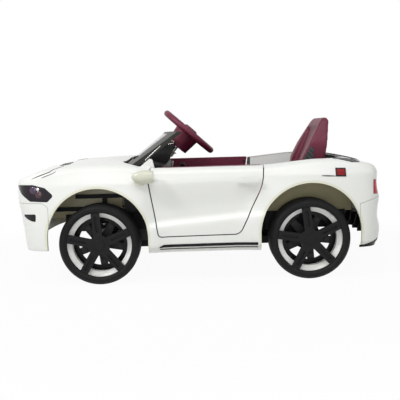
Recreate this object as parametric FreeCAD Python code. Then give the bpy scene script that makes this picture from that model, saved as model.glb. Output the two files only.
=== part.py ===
import FreeCAD, Part
import math
import os

# Electric ride-on car for a small child, in millimetres.
# +X points to the rear, -Y is the car's left side, +Z is up, and the wheels stand on z = 0.

V = FreeCAD.Vector

# Body surface
HALF_LENGTH = 554.0
HALF_WIDTH = 284.0
SKIN = 3.0
BODY_BOTTOM = 92.0
RIM_HEIGHT = 334.0
NOSE_POWER = 22.0
SIDE_POWER = 2.6
SIDE_ROUND = 26.0
NOSE_ROUND = 12.0
TAIL_ROUND = 16.0
START_SLOPE = 0.30
COLUMNS = 80
SILL_TUCK = 9.0
SILL_TUCK_RISE = 20.0
DOOR_SCOOP = 10.0
SCOOP_TURN = 22.0
SCOOP_FLAT = 35.0
TUMBLEHOME = 0.325
BAND_Z = 161.0
BAND_RISE = 0.085
CREASE_Z = 293.5
CREASE_RISE = 0.03
CREASE_START = -135.0
CABIN_RIM = (105.0, 255.0, 165.0)
BEYOND = 620.0
ASIDE = 400.0
# The nose reaches further than the tail, so the whole car moves back to stand over the origin
CENTRE_SHIFT = 6.5

# Clearances
FIT = 0.4
SEAM = 0.8
DOOR_SEAM = 3.0
RUNNING = 0.06

# Wheels and axles
WHEEL_RADIUS = 116.5
FRONT_AXLE_X = -298.0
REAR_AXLE_X = 310.0
TYRE_FACE = 280.0
TYRE_WIDTH = 78.0
TYRE_WALL = 9.0
TREAD_PITCH = 16.0
TREAD_DEPTH = 3.5
RIM_RADIUS = 94.0
RIM_DEPTH = 36.0
RIM_SLOPE = 11.0
RIM_EDGE = 1.4
RIM_WALL = 5.0
RIM_WEB = 10.0
BOLT_CIRCLE = 56.0
BOLT_BOSS = 8.0
RIM_FACE = 267.0
CAP_FACE = 276.0
SPOKES = 5
SPOKE_TIP = 24.0
SPOKE_FOOT = 26.0
GROOVE = 7.0
GROOVE_DEPTH = 5.0
CAP_DISC = 30.0
CAP_BADGE = 15.0
HUB_RADIUS = 21.0
HUB_ENDS = (203.0, 250.0)
NUT_RADIUS = 10.0
NUT_THICK = 7.0
AXLE_RADIUS = 6.0
AXLE_END = 9.5
FRONT_SPOKE_ANGLE = 95.0
REAR_SPOKE_ANGLE = 98.0
ARCH_RADIUS = 143.0
ARCH_RISE = 22.0
ARCH_LIP = 3.0
LIP_DEPTH = 10.0
FLARE = 9.0
FLARE_REACH = 75.0
LINER_SIDE = 133.0
LINER_X = (-470.0, -245.0)
LINER_FOOT = 178.0
BAR_SIDES = (138.0, 147.0)
BAR_NOSE = -528.0
BAR_THICK = 12.0
NOSE_BAR_Z = 200.0
TOP_BAR_Z = 238.0
TOP_BAR_AHEAD = 88.0
FORK_HALF = 14.0
FORK_THICK = 10.0

# Side-view heights: shoulder of the body, and the crown of the middle above it
SHOULDER = [(-554, 290), (-541, 301), (-526, 307), (-507, 314), (-476, 325), (-432, 333), (-399, 337),
            (-300, 343), (-230, 342), (-150, 333), (178, 333), (250, 339), (340, 346), (400, 345),
            (440, 339), (495, 325), (520, 313), (534, 303), (554, 284)]
CROWN = [(-554, 3), (-507, 7), (-432, 11), (-300, 13), (-230, 16), (-150, 6), (0, 2), (300, 2), (440, 5),
         (554, 4)]
# How far the nose and the tail stand back from the longest point, by height
NOSE_BACK = [(92, 26), (108, 19), (130, 15), (149, 13), (168, 11), (186, 8.5), (205, 6), (225, 3), (246, 0),
             (302, 0), (320, 2)]
TAIL_BACK = [(92, 26), (109, 18), (143, 13), (155, 15), (174, 22), (205, 19), (230, 14.5), (246, 19),
             (280, 26), (297, 24), (330, 24)]

# Panel outlines in side view, as x, z and, where it differs, a corner radius
DOOR = [(-128, 370), (-151, 308, 40), (-124, 139, 10), (106.5, 141, 24), (172, 278, 150), (180, 370)]
HEADLAMP = [(-530, 294, 5), (-478, 295.5, 20), (-442, 286, 14), (-418, 264.5, 6), (-436, 247.5, 6),
            (-487, 249.5, 8), (-514, 270, 14)]
FOG_LAMP = [(-512, 210), (-472, 212), (-473, 191.5), (-487, 193.5), (-504, 201)]
FRONT_BUMPER = [(-BEYOND, 107), (-435, 107), (-435, 232), (-452, 243), (-543, 243), (-543, 375),
                (-BEYOND, 375)]
REAR_BUMPER = [(448, 100), (462, 100), (507, 114), (526, 150), (BEYOND, 150), (BEYOND, 240), (520, 238),
               (448, 218)]
DIFFUSER_DROP = 0.9
FIN_SIDES = (-150, -90, -30, 30, 90, 150)
FIN_THICK = 5.0
FIN_DEPTH = 16.0
FIN_PROUD = 2.0
UPPER_STRIP = [(-131, 105), (-112, 115.5), (157, 116.5), (157, 108.5), (-112, 107.5)]
LOWER_STRIP = [(-125, 100.6), (157, 101.2), (157, 103.4), (-120, 102.8)]
PILLAR = [(-188, 326), (-146, 360, 6), (-138, 357, 6), (-131, 326)]
PILLAR_SIDES = (241.5, 251.3)
# Outlines seen from the end, as y and z
GRILLE = [(-148, 220), (148, 220), (166, 190), (138, 140), (-138, 140), (-166, 190)]
GRILLE_CORNER = 14.0
GRILLE_EDGE = 8.0
GRILLE_THICK = 4.0
GRILLE_ROWS = 4
GRILLE_FOOT = 150.0
GRILLE_PITCH = (27.0, 18.0)
GRILLE_HOLE = [(-11, 0), (-6, -7), (6, -7), (11, 0), (6, 7), (-6, 7)]
TAIL_LAMP = [(-330, 284), (-330, 250), (-262, 243), (-150, 247), (-138, 264), (-160, 284)]
TAIL_LAMP_START = 490.0
TAIL_LAMP_CORNER = 6.0
LENS_SUNK = 0.3
FOG_SUNK = 1.6
STRIP_PROUD = 1.6
# Outlines in plan, as x and y
CABIN = [(-240, -125), (-222, -226), (-160, -243), (378, -243), (422, -200), (422, 200), (378, 243),
         (-160, 243), (-222, 226), (-240, 125)]
CABIN_CORNER = 40.0
DECK_PANEL = [(428, -128), (500, -104), (500, 104), (428, 128)]
DECK_CORNER = 18.0

# Cabin tub
FLOOR_Z = 100.0
SEAT_FLOOR_Z = 186.0
TUB_WALL = 3.0
TUB_HALF = 245.0
TUB_FRONT = -126.0
TUB_STEP = 150.0
TUB_REAR = 450.0
FOOTWELL_FRONT = -238.0
FOOTWELL_HALF = 130.0
FOOTWELL_TOP = 252.0
SILL_TOP = 136.0
SILL_EDGE = 268.0
WELL_SIDE = 186.0
WELL_ROOM = 5.0
WELL_TURN = 45.0
BUSH_WINDOW = 26.0

# Doors
DOOR_EDGE = 257.0
TRIM_INNER = 237.5
TRIM_THICK = 8.0
TRIM = [(-116, 334), (-116, 195, 8), (-97, 172, 8), (-97, 152, 8), (98, 154, 20), (164, 278, 120),
        (174, 334)]
LEAF_EDGES = (-97.0, -116.0)
LEDGE_DROP = 12.0
ARM_REST = [(-60, 262), (90, 270), (96, 284, 6), (-66, 276, 6)]
ARM_REST_REACH = 16.0
DOOR_POCKET = [(-80, 170), (60, 172), (84, 222), (-86, 220)]
HANDLE = [(102, 286), (164, 288), (164, 300), (102, 298)]
HANDLE_STAND = (7.5, 13.0)
HANDLE_FEET = (104.0, 153.0)
FOOT_WIDTH = 9.0
HINGE_BACK = 13.5
HINGE_Y = 274.0
HINGE_PIN = 2.5
HINGE_BARREL = 5.0
HINGE_HEIGHTS = (153.0, 285.0)
HINGE_SPAN = 14.0
HINGE_EAR = 4.0
EAR_HALF = 3.6
EAR_END = 3.2
EAR_GAP = 1.4
BRACKET_SIDES = (233.0, 241.0)
BRACKET_LAP = 8.0

# Mirrors
MIRROR = V(-154, -303, 312)
MIRROR_SIZE = V(40, 16, 19)
MIRROR_BACK = -133.0
MIRROR_FACE = (12.0, 9.0)
MIRROR_FOOT = [(-184, 288), (-160, 288), (-158, 306), (-188, 308)]
MIRROR_STAND = 18.0

# Steering
STEER_TILT = 41.6
STEER_HUB = V(-34, 0, 432)
STEER_RING = 92.0
STEER_GRIP = 10.0
BOSS_TOP = 44.0
BOSS_FOOT = 36.0
BOSS_DEPTH = 62.0
BOSS_DOME = 9.0
BOSS_GAP = 3.0
STEER_SPOKE = [(28, -20), (STEER_RING, -11), (STEER_RING, 11), (28, 20)]
STEER_SPOKE_SIDES = (-7.0, 5.0)
HORN_RADIUS = 25.0
HORN_TRAVEL = 3.0
HORN_SEAT = 4.0
HORN_GAP = 0.5
SHAFT_RADIUS = 6.0
SHAFT_LENGTH = 367.0
SHAFT_ROOM = 5.0
SHAFT_TOP = 12.5
PRESS_FIT = 0.02
CRANK = 20.0
CRANK_PIN = 4.0
KINGPIN_Y = 165.0
KINGPIN_RADIUS = 6.0
KINGPIN_HEAD = 9.5
KNUCKLE_RADIUS = 15.0
KNUCKLE_ENDS = (95.0, 149.0)
ARM = 40.0
ARM_PIN = 5.0
TIE_ROD_Z = 121.0
TIE_ROD_THICK = 6.0
SLOT_END = 0.8
ARM_SLOT_GAP = 0.7
CRANK_SLOT_GAP = 1.1
KNUCKLE_SWING = 20.25
STEER_SWING = 45.0
BUSH_RADIUS = 10.0
BUSH_FLANGE = 14.0
BUSH_LENGTH = 16.0
POD_BUSH = 84.0
FOOT_BUSH = 300.0

# Drive
GEAR_MODULE = 1.5
PRESSURE_ANGLE = 20.0
WHEEL_TEETH = 50
PINION_TEETH = 14
GEAR_FACE = (140.0, 156.0)
MOTOR_RADIUS = 18.5
BOX_SIDES = (108.4, 186.0)
BOX_WALL = 3.0
BOX_ROOM = 1.5
MOTOR_SIDES = (52.0, 108.0)
MOTOR_SHAFT = 2.5
MOTOR_ANGLE = 157.0
SLEEVE_RADIUS = 11.0
BACKLASH = 0.3
BATTERY = V(66, 150, 76)
BATTERY_X = 160.0
POST_HEIGHT = 6.0

# Chassis
RAIL_SIDES = (84.0, 108.0)
RAIL_Z = (76.0, 99.5)
RAIL_ENDS = (-318.0, 350.0)
CROSS_MEMBERS = (-300.0, -150.0, 130.0, 335.0)
CROSS_HALF = 12.0
DECK_PLATE = 4.0
AXLE_BRACKET = 16.0
BOLT_ROWS = (-230.0, -60.0, 60.0, 240.0)
BOLT_RADIUS = 3.0
BOLT_HEAD = 5.0

# Controls
PEDAL = V(-158, 55, 112)
PEDAL_HALF = 28.0
PEDAL_LENGTH = 78.0
PEDAL_LEAN = 50.0
PEDAL_PIN = 2.5
PEDAL_BARREL = 6.5
PEDAL_PLATE = (3.0, 9.0)
PEDAL_RIBS = 5
PEDAL_RIB_PITCH = 12.0
PEDAL_EAR = 4.0
PEDAL_SIDE_GAP = 2.0
LEVER = V(-118, 120, 302)
LEVER_REACH = V(58, 0, 12)
LEVER_STEM = 4.0
LEVER_KNOB = 10.0
LEVER_SLOT = 7.0
LEVER_PIN = 3.0
LEVER_PIN_HALF = 13.5
BUTTON = V(-100, -120, 300)
BUTTON_RADIUS = 9.0
BUTTON_GAP = 0.3
BUTTON_BASE = 16.0
BUTTON_CROWN = 4.0
SOCKET_X = 235.0
SOCKET_Y = 165.0
SOCKET_HEIGHT = 15.0
SOCKET_RADIUS = 8.0
SOCKET_BORE = 2.75
SOCKET_DEPTH = 12.0
SOCKET_FLANGE = 2.4

# Dashboard, seat and windscreen, in side view
DASH = [(-226, 300), (-226, 337), (-150, 346, 20), (-112, 338, 14), (-98, 320, 8), (-104, 275, 14),
        (-130, 253.5), (-205, 253.5)]
DASH_HALF = 232.5
POD = [(-174, 340), (-130, 403, 14), (-98, 413, 8), (-80, 392, 8), (-106, 335)]
POD_HALF = 88.0
DASH_HOLLOW = [(-213, 240), (-213, 326), (-138, 326), (-138, 240)]
DASH_WEB = 14.0
SEAT_SIDE = [(300, 190), (306, 250, 20), (316, 337, 60), (345, 392, 60), (380, 452, 30), (390, 463, 8),
             (403, 463, 8), (407, 452, 9), (388, 335, 40), (385, 190)]
SEAT_HALF = 114.0
SEAT_FRONT = [(-114, 180), (-114, 385, 60), (-76, 466, 30), (76, 466, 30), (114, 385, 60), (114, 180)]
CUSHION = [(168, 186.4), (164, 232, 14), (300, 240, 30), (320, 186.4)]
SEAT_HOLLOW = [(306, 150), (334, 300), (372, 400), (392, 400), (378, 150)]
BOLSTER_HOLLOW = [(312, 150), (325, 330), (347, 370), (378, 370), (376, 150)]
SEAT_WALL = 8.0
SEAT_CHANNEL = [(286, 236), (322, 300, 40), (340, 345, 30), (382, 440, 20), (300, 470), (200, 400)]
CHANNEL_HALF = 72.0
SIDE_PANEL = [(316, 300), (352, 300), (352, 376), (341, 376), (321, 340)]
PANEL_THICK = 2.2
SCREEN_FOOT = (-233.0, -206.0, 222.0, 338.0)
SCREEN_HEAD = (-112.0, -66.0, 204.0, 434.0)
SCREEN_THICK = 5.0
SCREEN_GAP = 2.0
RAIL_FOOT = 30.0
RAIL_HEAD = 16.0
RAIL_WIDTH = 7.0


def ease(t):
    t = min(max(t, 0.0), 1.0)
    return t * t * (3.0 - 2.0 * t)


def mix(a, b, t):
    return a + (b - a) * t


def through(points, v):
    """Height of a smooth line through points, without overshoot."""
    if v <= points[0][0]:
        return points[0][1]
    if v >= points[-1][0]:
        return points[-1][1]
    slopes = [(b[1] - a[1]) / (b[0] - a[0]) for a, b in zip(points, points[1:])]
    i = max(k for k in range(len(slopes)) if points[k][0] <= v)

    def tangent(k):
        if k == 0 or k == len(slopes) or slopes[k - 1] * slopes[k] <= 0:
            return 0.0
        return 2.0 * slopes[k - 1] * slopes[k] / (slopes[k - 1] + slopes[k])

    width = points[i + 1][0] - points[i][0]
    t = (v - points[i][0]) / width
    low = (1 + 2 * t) * (1 - t) ** 2 * points[i][1] + t * t * (3 - 2 * t) * points[i + 1][1]
    return low + width * (t * (1 - t) ** 2 * tangent(i) - t * t * (1 - t) * tangent(i + 1))


def half_outline():
    """Left half of the plan outline from nose to tail, evenly spaced, with outward normals."""
    cap = 0.85 * HALF_WIDTH
    side = HALF_LENGTH * (1 - (cap / HALF_WIDTH) ** SIDE_POWER) ** (1 / NOSE_POWER)
    front = []
    for k in range(200):
        y = cap * k / 200.0
        front.append((-HALF_LENGTH * (1 - (y / HALF_WIDTH) ** SIDE_POWER) ** (1 / NOSE_POWER), -y))
    flank = []
    for k in range(1201):
        x = mix(-side, side, k / 1200.0)
        flank.append((x, -HALF_WIDTH * (1 - abs(x / HALF_LENGTH) ** NOSE_POWER) ** (1 / SIDE_POWER)))
    dense = front + flank + [(-x, y) for x, y in reversed(front)]
    reach = [0.0]
    for a, b in zip(dense, dense[1:]):
        reach.append(reach[-1] + math.dist(a, b))
    points = []
    k = 0
    for c in range(COLUMNS + 1):
        goal = reach[-1] * c / COLUMNS
        while k < len(dense) - 2 and reach[k + 1] < goal:
            k += 1
        t = (goal - reach[k]) / (reach[k + 1] - reach[k])
        points.append((mix(dense[k][0], dense[k + 1][0], t), mix(dense[k][1], dense[k + 1][1], t)))
    placed = []
    for c, (x, y) in enumerate(points):
        if c == 0 or c == COLUMNS:
            placed.append((x, 0.0, math.copysign(1.0, x), 0.0))
            continue
        dx = points[c + 1][0] - points[c - 1][0]
        dy = points[c + 1][1] - points[c - 1][1]
        size = math.hypot(dx, dy)
        placed.append((x, y, dy / size, -dx / size))
    return placed


def top_height(x, y):
    return through(SHOULDER, x) + through(CROWN, x) * (1 - (y / HALF_WIDTH) ** 2)


def band_height(x):
    """Height of the crease where the lower door panel turns outward."""
    return BAND_Z + BAND_RISE * min(max(x - CREASE_START, -40.0), 320.0)


def crease_height(x):
    """Height of the crease along the upper door, just under the handle."""
    return CREASE_Z + CREASE_RISE * min(max(x - CREASE_START, -60.0), 330.0)


def stand_back(x, z, nx, ny):
    """How far the wall lies inside the plan outline at a height."""
    low = band_height(x)
    high = crease_height(x)
    side = SILL_TUCK * ease((BODY_BOTTOM + SILL_TUCK_RISE - z) / SILL_TUCK_RISE)
    between = ease((x - FRONT_AXLE_X - 110.0) / 60.0) * ease((REAR_AXLE_X - 90.0 - x) / 60.0)
    rise = ease((z - low) / SCOOP_TURN) - ease((z - low - SCOOP_FLAT) / (high - low - SCOOP_FLAT))
    side += DOOR_SCOOP * between * rise
    side += TUMBLEHOME * max(z - high, 0.0)
    for axle in (FRONT_AXLE_X, REAR_AXLE_X):
        far = math.hypot(x - axle, z - WHEEL_RADIUS - ARCH_RISE)
        side -= FLARE * ease((ARCH_RADIUS + FLARE_REACH - far) / FLARE_REACH)
    end = through(NOSE_BACK if x < 0 else TAIL_BACK, z)
    return side * ny * ny + end * nx * nx


def body_grid():
    """Points over the left half of the body: one list per column, from the sill to inside the cabin."""
    grid = []
    for c, (x, y, nx, ny) in enumerate(half_outline()):
        end_round = NOSE_ROUND if x < 0 else TAIL_ROUND
        round_radius = mix(SIDE_ROUND, end_round, nx * nx)
        wall_top = top_height(x, y) - round_radius * (1 - math.sin(START_SLOPE))
        low = band_height(x)
        high = min(crease_height(x), wall_top - 14.0)
        marks = [(BODY_BOTTOM, 1), (BODY_BOTTOM + 8, 2), (BODY_BOTTOM + 24, 3), (low - 3, 3),
                 (low + SCOOP_TURN, 4), (low + 62, 4), (high - 4, 1), (high + 4, 3)]
        heights = []
        for (start, count), (stop, _) in zip(marks, marks[1:] + [(wall_top, 0)]):
            heights += [mix(start, stop, k / count) for k in range(count)]
        heights.append(wall_top)
        column = []
        for z in heights:
            back = stand_back(x, z, nx, ny)
            column.append(V(x - nx * back, y - ny * back, z))
        back = stand_back(x, wall_top, nx, ny)
        for k in range(1, 6):
            turn = mix(START_SLOPE, math.pi / 2, k / 5.0)
            inset = back + round_radius * (math.cos(START_SLOPE) - math.cos(turn))
            px, py = x - nx * inset, y - ny * inset
            column.append(V(px, py, top_height(px, py) - round_radius * (1 - math.sin(turn))))
        edge = column[-1]
        angle = math.pi * c / COLUMNS
        rim_x, rim_y = CABIN_RIM[0] - CABIN_RIM[1] * math.cos(angle), -CABIN_RIM[2] * math.sin(angle)
        for u in (0.03, 0.08, 0.15, 0.24, 0.35, 0.47, 0.6, 0.73, 0.86, 1.0):
            px, py = mix(edge.x, rim_x, u), mix(edge.y, rim_y, u)
            column.append(V(px, py, mix(top_height(px, py), RIM_HEIGHT, ease((u - 0.5) / 0.5))))
        grid.append(column)
    return grid


def grid_normals(grid):
    normals = []
    rows = len(grid[0])
    for c in range(len(grid)):
        line = []
        for r in range(rows):
            along = grid[min(c + 1, COLUMNS)][r] - grid[max(c - 1, 0)][r]
            if c in (0, COLUMNS):
                along = V(0, -1 if c == 0 else 1, 0)
            up = grid[c][min(r + 1, rows - 1)] - grid[c][max(r - 1, 0)]
            n = along.cross(up)
            if r == 0:
                n.z = 0.0
            if r == rows - 1:
                n = V(0, 0, 1)
            n.normalize()
            line.append(n)
        normals.append(line)
    return normals


GRID = body_grid()
NORMALS = grid_normals(GRID)


def spacing(lines):
    """Shared curve parameters for like lines of points, from their mean spacing."""
    steps = []
    for k in range(len(lines[0]) - 1):
        steps.append(sum((line[k + 1] - line[k]).Length for line in lines))
    marks = [0.0]
    for step in steps:
        marks.append(marks[-1] + step / sum(steps))
    return marks


def curve_through(points, marks):
    curve = Part.BSplineCurve()
    curve.interpolate(Points=points, Parameters=marks)
    return curve


def surface_through(grid):
    """A smooth surface through every point of a grid."""
    across = [list(line) for line in zip(*grid)]
    row_marks = spacing(grid)
    column_marks = spacing(across)
    lines = [curve_through(line, row_marks) for line in grid]
    poles = [list(row) for row in zip(*[line.getPoles() for line in lines])]
    curves = [curve_through(row, column_marks) for row in poles]
    net = [list(row) for row in zip(*[curve.getPoles() for curve in curves])]
    surface = Part.BSplineSurface()
    surface.buildFromPolesMultsKnots(net, curves[0].getMultiplicities(), lines[0].getMultiplicities(),
                                     curves[0].getKnots(), lines[0].getKnots(), False, False, 3, 3)
    return surface


def body_faces(depth):
    """Left and right faces of the body surface, moved inward by depth."""
    faces = []
    for side in (1, -1):
        points = []
        for column, normals in zip(GRID, NORMALS):
            moved = [p - n * depth for p, n in zip(column, normals)]
            points.append([V(p.x, p.y * side, p.z) for p in moved])
        faces.append(surface_through(points).toShape())
    return faces


def rim_edges(faces, top):
    """The lowest or the highest edge of each of the faces."""
    found = []
    for face in faces:
        pick = max if top else min
        found.append(pick(face.Edges, key=lambda e: e.CenterOfMass.z))
    return found


def closed(faces):
    shell = Part.makeShell(faces)
    shell.sewShape()
    solid = Part.Solid(shell)
    if solid.Volume < 0:
        solid.reverse()
    return solid


def layer(outer_depth, inner_depth):
    """The body's skin between two depths, open into the cabin and underneath."""
    outer = body_faces(outer_depth)
    inner = body_faces(inner_depth)
    faces = outer + inner
    for top in (True, False):
        for a, b in zip(rim_edges(outer, top), rim_edges(inner, top)):
            faces.append(Part.makeRuledSurface(a, b))
    return closed(faces)


def core(depth):
    """Everything inside the body surface at a depth."""
    faces = body_faces(depth)
    caps = [Part.Face(Part.Wire(rim_edges(faces, top))) for top in (True, False)]
    return closed(faces + caps)


# Shapes from plain sizes

def box(x, y, z):
    """A block between two ends along each axis."""
    return Part.makeBox(x[1] - x[0], y[1] - y[0], z[1] - z[0], V(x[0], y[0], z[0]))


def rod(start, stop, radius):
    return Part.makeCylinder(radius, (stop - start).Length, start, stop - start)


def sleeve(start, stop, outer, bore):
    return rod(start, stop, outer).cut(rod(start, stop, bore))


def in_space(plane, a, b, depth):
    return {"xz": V(a, depth, b), "xy": V(a, b, depth), "yz": V(depth, a, b)}[plane]


def rounded_wire(points, plane, depth, corner):
    """A closed outline with each corner rounded; a point may carry its own radius as a third number."""
    edges = []
    turns = []
    for i, point in enumerate(points):
        here = V(point[0], point[1], 0)
        back = V(*points[i - 1][:2], 0) - here
        on = V(*points[(i + 1) % len(points)][:2], 0) - here
        half = back.getAngle(on) / 2
        radius = point[2] if len(point) > 2 else corner
        cut = min(radius / math.tan(half), 0.48 * min(back.Length, on.Length))
        back.normalize()
        on.normalize()
        middle = back + on
        middle.normalize()
        swing = cut * math.tan(half)
        turns.append((here + back * cut, here + middle * (swing / math.sin(half) - swing), here + on * cut))
    turns = [[in_space(plane, p.x, p.y, depth) for p in turn] for turn in turns]
    for i, turn in enumerate(turns):
        if (turn[0] - turn[2]).Length > 0.001:
            edges.append(Part.Arc(*turn).toShape())
        edges.append(Part.LineSegment(turn[2], turns[(i + 1) % len(turns)][0]).toShape())
    return Part.Wire(edges)


def prism(points, plane, start, stop, corner=0.0, grow=0.0):
    """An outline in one plane, rounded, grown outward, and drawn out square to the plane."""
    wire = rounded_wire(points, plane, start, corner)
    if grow:
        wire = wire.makeOffset2D(grow)
    along = in_space(plane, 0, 0, stop - start)
    return Part.Face(wire).extrude(along)


def joined(shapes):
    whole = shapes[0].fuse(shapes[1:]) if len(shapes) > 1 else shapes[0]
    return whole.removeSplitter()


def mirrored(shape):
    return shape.mirror(V(0, 0, 0), V(0, 1, 0))


def both_sides(shape):
    return [shape, mirrored(shape)]


def trimmed(shape, cuts):
    """The largest solid left after a list of cuts."""
    for cut in cuts:
        shape = max(shape.cut(cut).Solids, key=lambda solid: solid.Volume)
    return shape


def solids_of(shape):
    return Part.makeCompound([s for s in shape.Solids if s.Volume > 1.0])


# Body panels

def arch_cut(grow):
    """The space of both wheel arches, right across the body."""
    radius = ARCH_RADIUS + grow
    centre = WHEEL_RADIUS + ARCH_RISE
    cuts = []
    for axle in (FRONT_AXLE_X, REAR_AXLE_X):
        cuts.append(rod(V(axle, -ASIDE, centre), V(axle, ASIDE, centre), radius))
        cuts.append(box((axle - radius, axle + radius), (-ASIDE, ASIDE), (0, centre)))
    return joined(cuts)


def side_cut(points, grow=0.0, corner=4.0):
    """A side-view outline drawn through the left side of the body."""
    return prism(points, "xz", -ASIDE, -150, corner, grow)


def pillar_base():
    """The white fin at the foot of the windscreen."""
    return prism(PILLAR, "xz", -PILLAR_SIDES[1], -PILLAR_SIDES[0], 1.0)


def body_stock():
    """The skin with the wheel arches cut and their lips turned in."""
    lips = arch_cut(ARCH_LIP).cut(arch_cut(0)).common(layer(1.0, LIP_DEPTH))
    return joined([layer(0, SKIN).cut(arch_cut(0)), lips]).Solids[0]


def diffuser_outline():
    low = [(x, z - DIFFUSER_DROP) for x, z in REAR_BUMPER[1:5]]
    return low + [(BEYOND, 60), (REAR_BUMPER[0][0], 60), (REAR_BUMPER[0][0], low[0][1])]


def make_panels(parts):
    stock = body_stock()
    front = prism(FRONT_BUMPER, "xz", -ASIDE, ASIDE)
    front_room = prism(FRONT_BUMPER, "xz", -ASIDE, ASIDE, 0, SEAM)
    rear = prism(REAR_BUMPER, "xz", -ASIDE, ASIDE)
    rear_room = prism(REAR_BUMPER, "xz", -ASIDE, ASIDE, 0, SEAM)
    low = prism(diffuser_outline(), "xz", -ASIDE, ASIDE)
    tail_lamp = prism(TAIL_LAMP, "yz", TAIL_LAMP_START, BEYOND, TAIL_LAMP_CORNER)
    tail_room = prism(TAIL_LAMP, "yz", TAIL_LAMP_START - SEAM, BEYOND, TAIL_LAMP_CORNER, SEAM)
    cabin = prism(CABIN, "xy", 270, ASIDE, CABIN_CORNER)
    grille_room = prism(GRILLE, "yz", -BEYOND, -ASIDE, GRILLE_CORNER)

    cuts = [front_room, rear_room, cabin]
    for cut in (side_cut(DOOR, DOOR_SEAM, 0.0), side_cut(HEADLAMP, SEAM), tail_room):
        cuts += both_sides(cut)
    shell = trimmed(stock, cuts)
    liner = box(LINER_X, (-LINER_SIDE - SKIN, -LINER_SIDE), (LINER_FOOT, ASIDE)).common(core(SKIN / 2))
    parts["body_shell"] = joined([shell] + both_sides(pillar_base()) + both_sides(liner))

    fog_room = both_sides(side_cut(FOG_LAMP, SEAM, 3))
    parts["front_bumper"] = trimmed(stock.common(front), [grille_room] + fog_room)
    parts["rear_bumper"] = stock.common(rear).Solids[0]
    fins = [box((500, BEYOND), (y - FIN_THICK / 2, y + FIN_THICK / 2), (60, 138)) for y in FIN_SIDES]
    ribs = layer(-FIN_PROUD, FIN_DEPTH).common(Part.makeCompound(fins)).common(low)
    parts["rear_diffuser"] = layer(0, SKIN).common(low).fuse(ribs)

    lens = layer(LENS_SUNK, SKIN)
    parts["headlamps"] = solids_of(lens.common(Part.makeCompound(both_sides(side_cut(HEADLAMP)))))
    parts["tail_lamps"] = solids_of(lens.common(Part.makeCompound(both_sides(tail_lamp))))
    sunk = layer(FOG_SUNK, FOG_SUNK + SKIN)
    parts["fog_lamps"] = solids_of(sunk.common(Part.makeCompound(both_sides(side_cut(FOG_LAMP, 0, 3)))))
    parts["grille"] = make_grille()
    proud = layer(-STRIP_PROUD, -FIT)
    strips = [side_cut(UPPER_STRIP, 0, 2), side_cut(LOWER_STRIP, 0, 0.8)]
    strips += [mirrored(s) for s in strips]
    parts["sill_strips"] = solids_of(proud.common(Part.makeCompound(strips)))
    parts["deck_panel"] = proud.common(prism(DECK_PANEL, "xy", 280, ASIDE, DECK_CORNER))


def make_grille():
    """A black grid behind the opening in the front bumper."""
    back = SKIN + FIT
    outline = prism(GRILLE, "yz", -BEYOND, -ASIDE, GRILLE_CORNER, GRILLE_EDGE)
    holes = []
    for row in range(GRILLE_ROWS):
        z = GRILLE_FOOT + row * GRILLE_PITCH[1]
        for column in range(-5, 6):
            y = (column + 0.5 * (row % 2)) * GRILLE_PITCH[0]
            if abs(y) < 118 + row * 8:
                holes.append(prism([(y + a, z + b) for a, b in GRILLE_HOLE], "yz", -BEYOND, -ASIDE))
    return layer(back, back + GRILLE_THICK).common(outline).cut(Part.makeCompound(holes))


# Doors and mirrors

def door_skin():
    """White outer panel of the left door, up to the edge of the maroon ledge."""
    panel = layer(0, SKIN).common(side_cut(DOOR, 0, 0.0))
    return panel.cut(box((-200, 220), (-DOOR_EDGE, 0), (200, ASIDE)))


def hinge_point(z):
    """A point on the left door's hinge line, which leans like the door's front edge."""
    (top_x, top_z), (low_x, low_z) = DOOR[1][:2], DOOR[2][:2]
    return V(mix(low_x, top_x, (z - low_z) / (top_z - low_z)) + HINGE_BACK, -HINGE_Y, z)


def door_trim():
    """Maroon inner panel of the left door with its top ledge, arm rest and hinge barrels."""
    panel = prism(TRIM, "xz", -TRIM_INNER - TRIM_THICK, -TRIM_INNER, 4)
    top = TRIM[0][1]
    reach = DOOR_EDGE - SEAM
    ledge = prism(TRIM, "xz", -reach, -TRIM_INNER, 4)
    ledge = ledge.common(box((-200, 220), (-300, 0), (top - LEDGE_DROP, top)))
    rest = prism(ARM_REST, "xz", -TRIM_INNER - 1, -TRIM_INNER + ARM_REST_REACH, 4)
    pocket = prism(DOOR_POCKET, "xz", -TRIM_INNER - TRIM_THICK / 2, -TRIM_INNER + 1, 12)
    pieces = [panel.cut(pocket), ledge, rest]
    bores = []
    for z, edge in zip(HINGE_HEIGHTS, LEAF_EDGES):
        middle = hinge_point(z)
        low, high = z - HINGE_SPAN / 2, z + HINGE_SPAN / 2
        pieces.append(rod(hinge_point(low), hinge_point(high), HINGE_BARREL))
        leaf = [(middle.x - 3, -HINGE_Y + 3), (middle.x + 4, -HINGE_Y - 2), (edge + 12, -TRIM_INNER - 4),
                (edge + 4, -TRIM_INNER - 4)]
        pieces.append(prism(leaf, "xy", low + 1, high - 1))
        bores.append(rod(hinge_point(z - 30), hinge_point(z + 30), HINGE_PIN + RUNNING))
    return joined(pieces).cut(bores)


def door_handle():
    """Pull bar on two feet, standing off the door skin."""
    bar = layer(-HANDLE_STAND[1], -HANDLE_STAND[0]).common(side_cut(HANDLE, 0, 5))
    low, high = HANDLE[0][1] + 1.5, HANDLE[3][1] + 0.3
    feet = []
    for x in HANDLE_FEET:
        far = x + FOOT_WIDTH
        feet.append(side_cut([(x, low), (far, low), (far, high), (x, high)], 0, 2))
    return bar.fuse(layer(-HANDLE_STAND[0] - 0.5, -FIT).common(Part.makeCompound(feet)))


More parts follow.
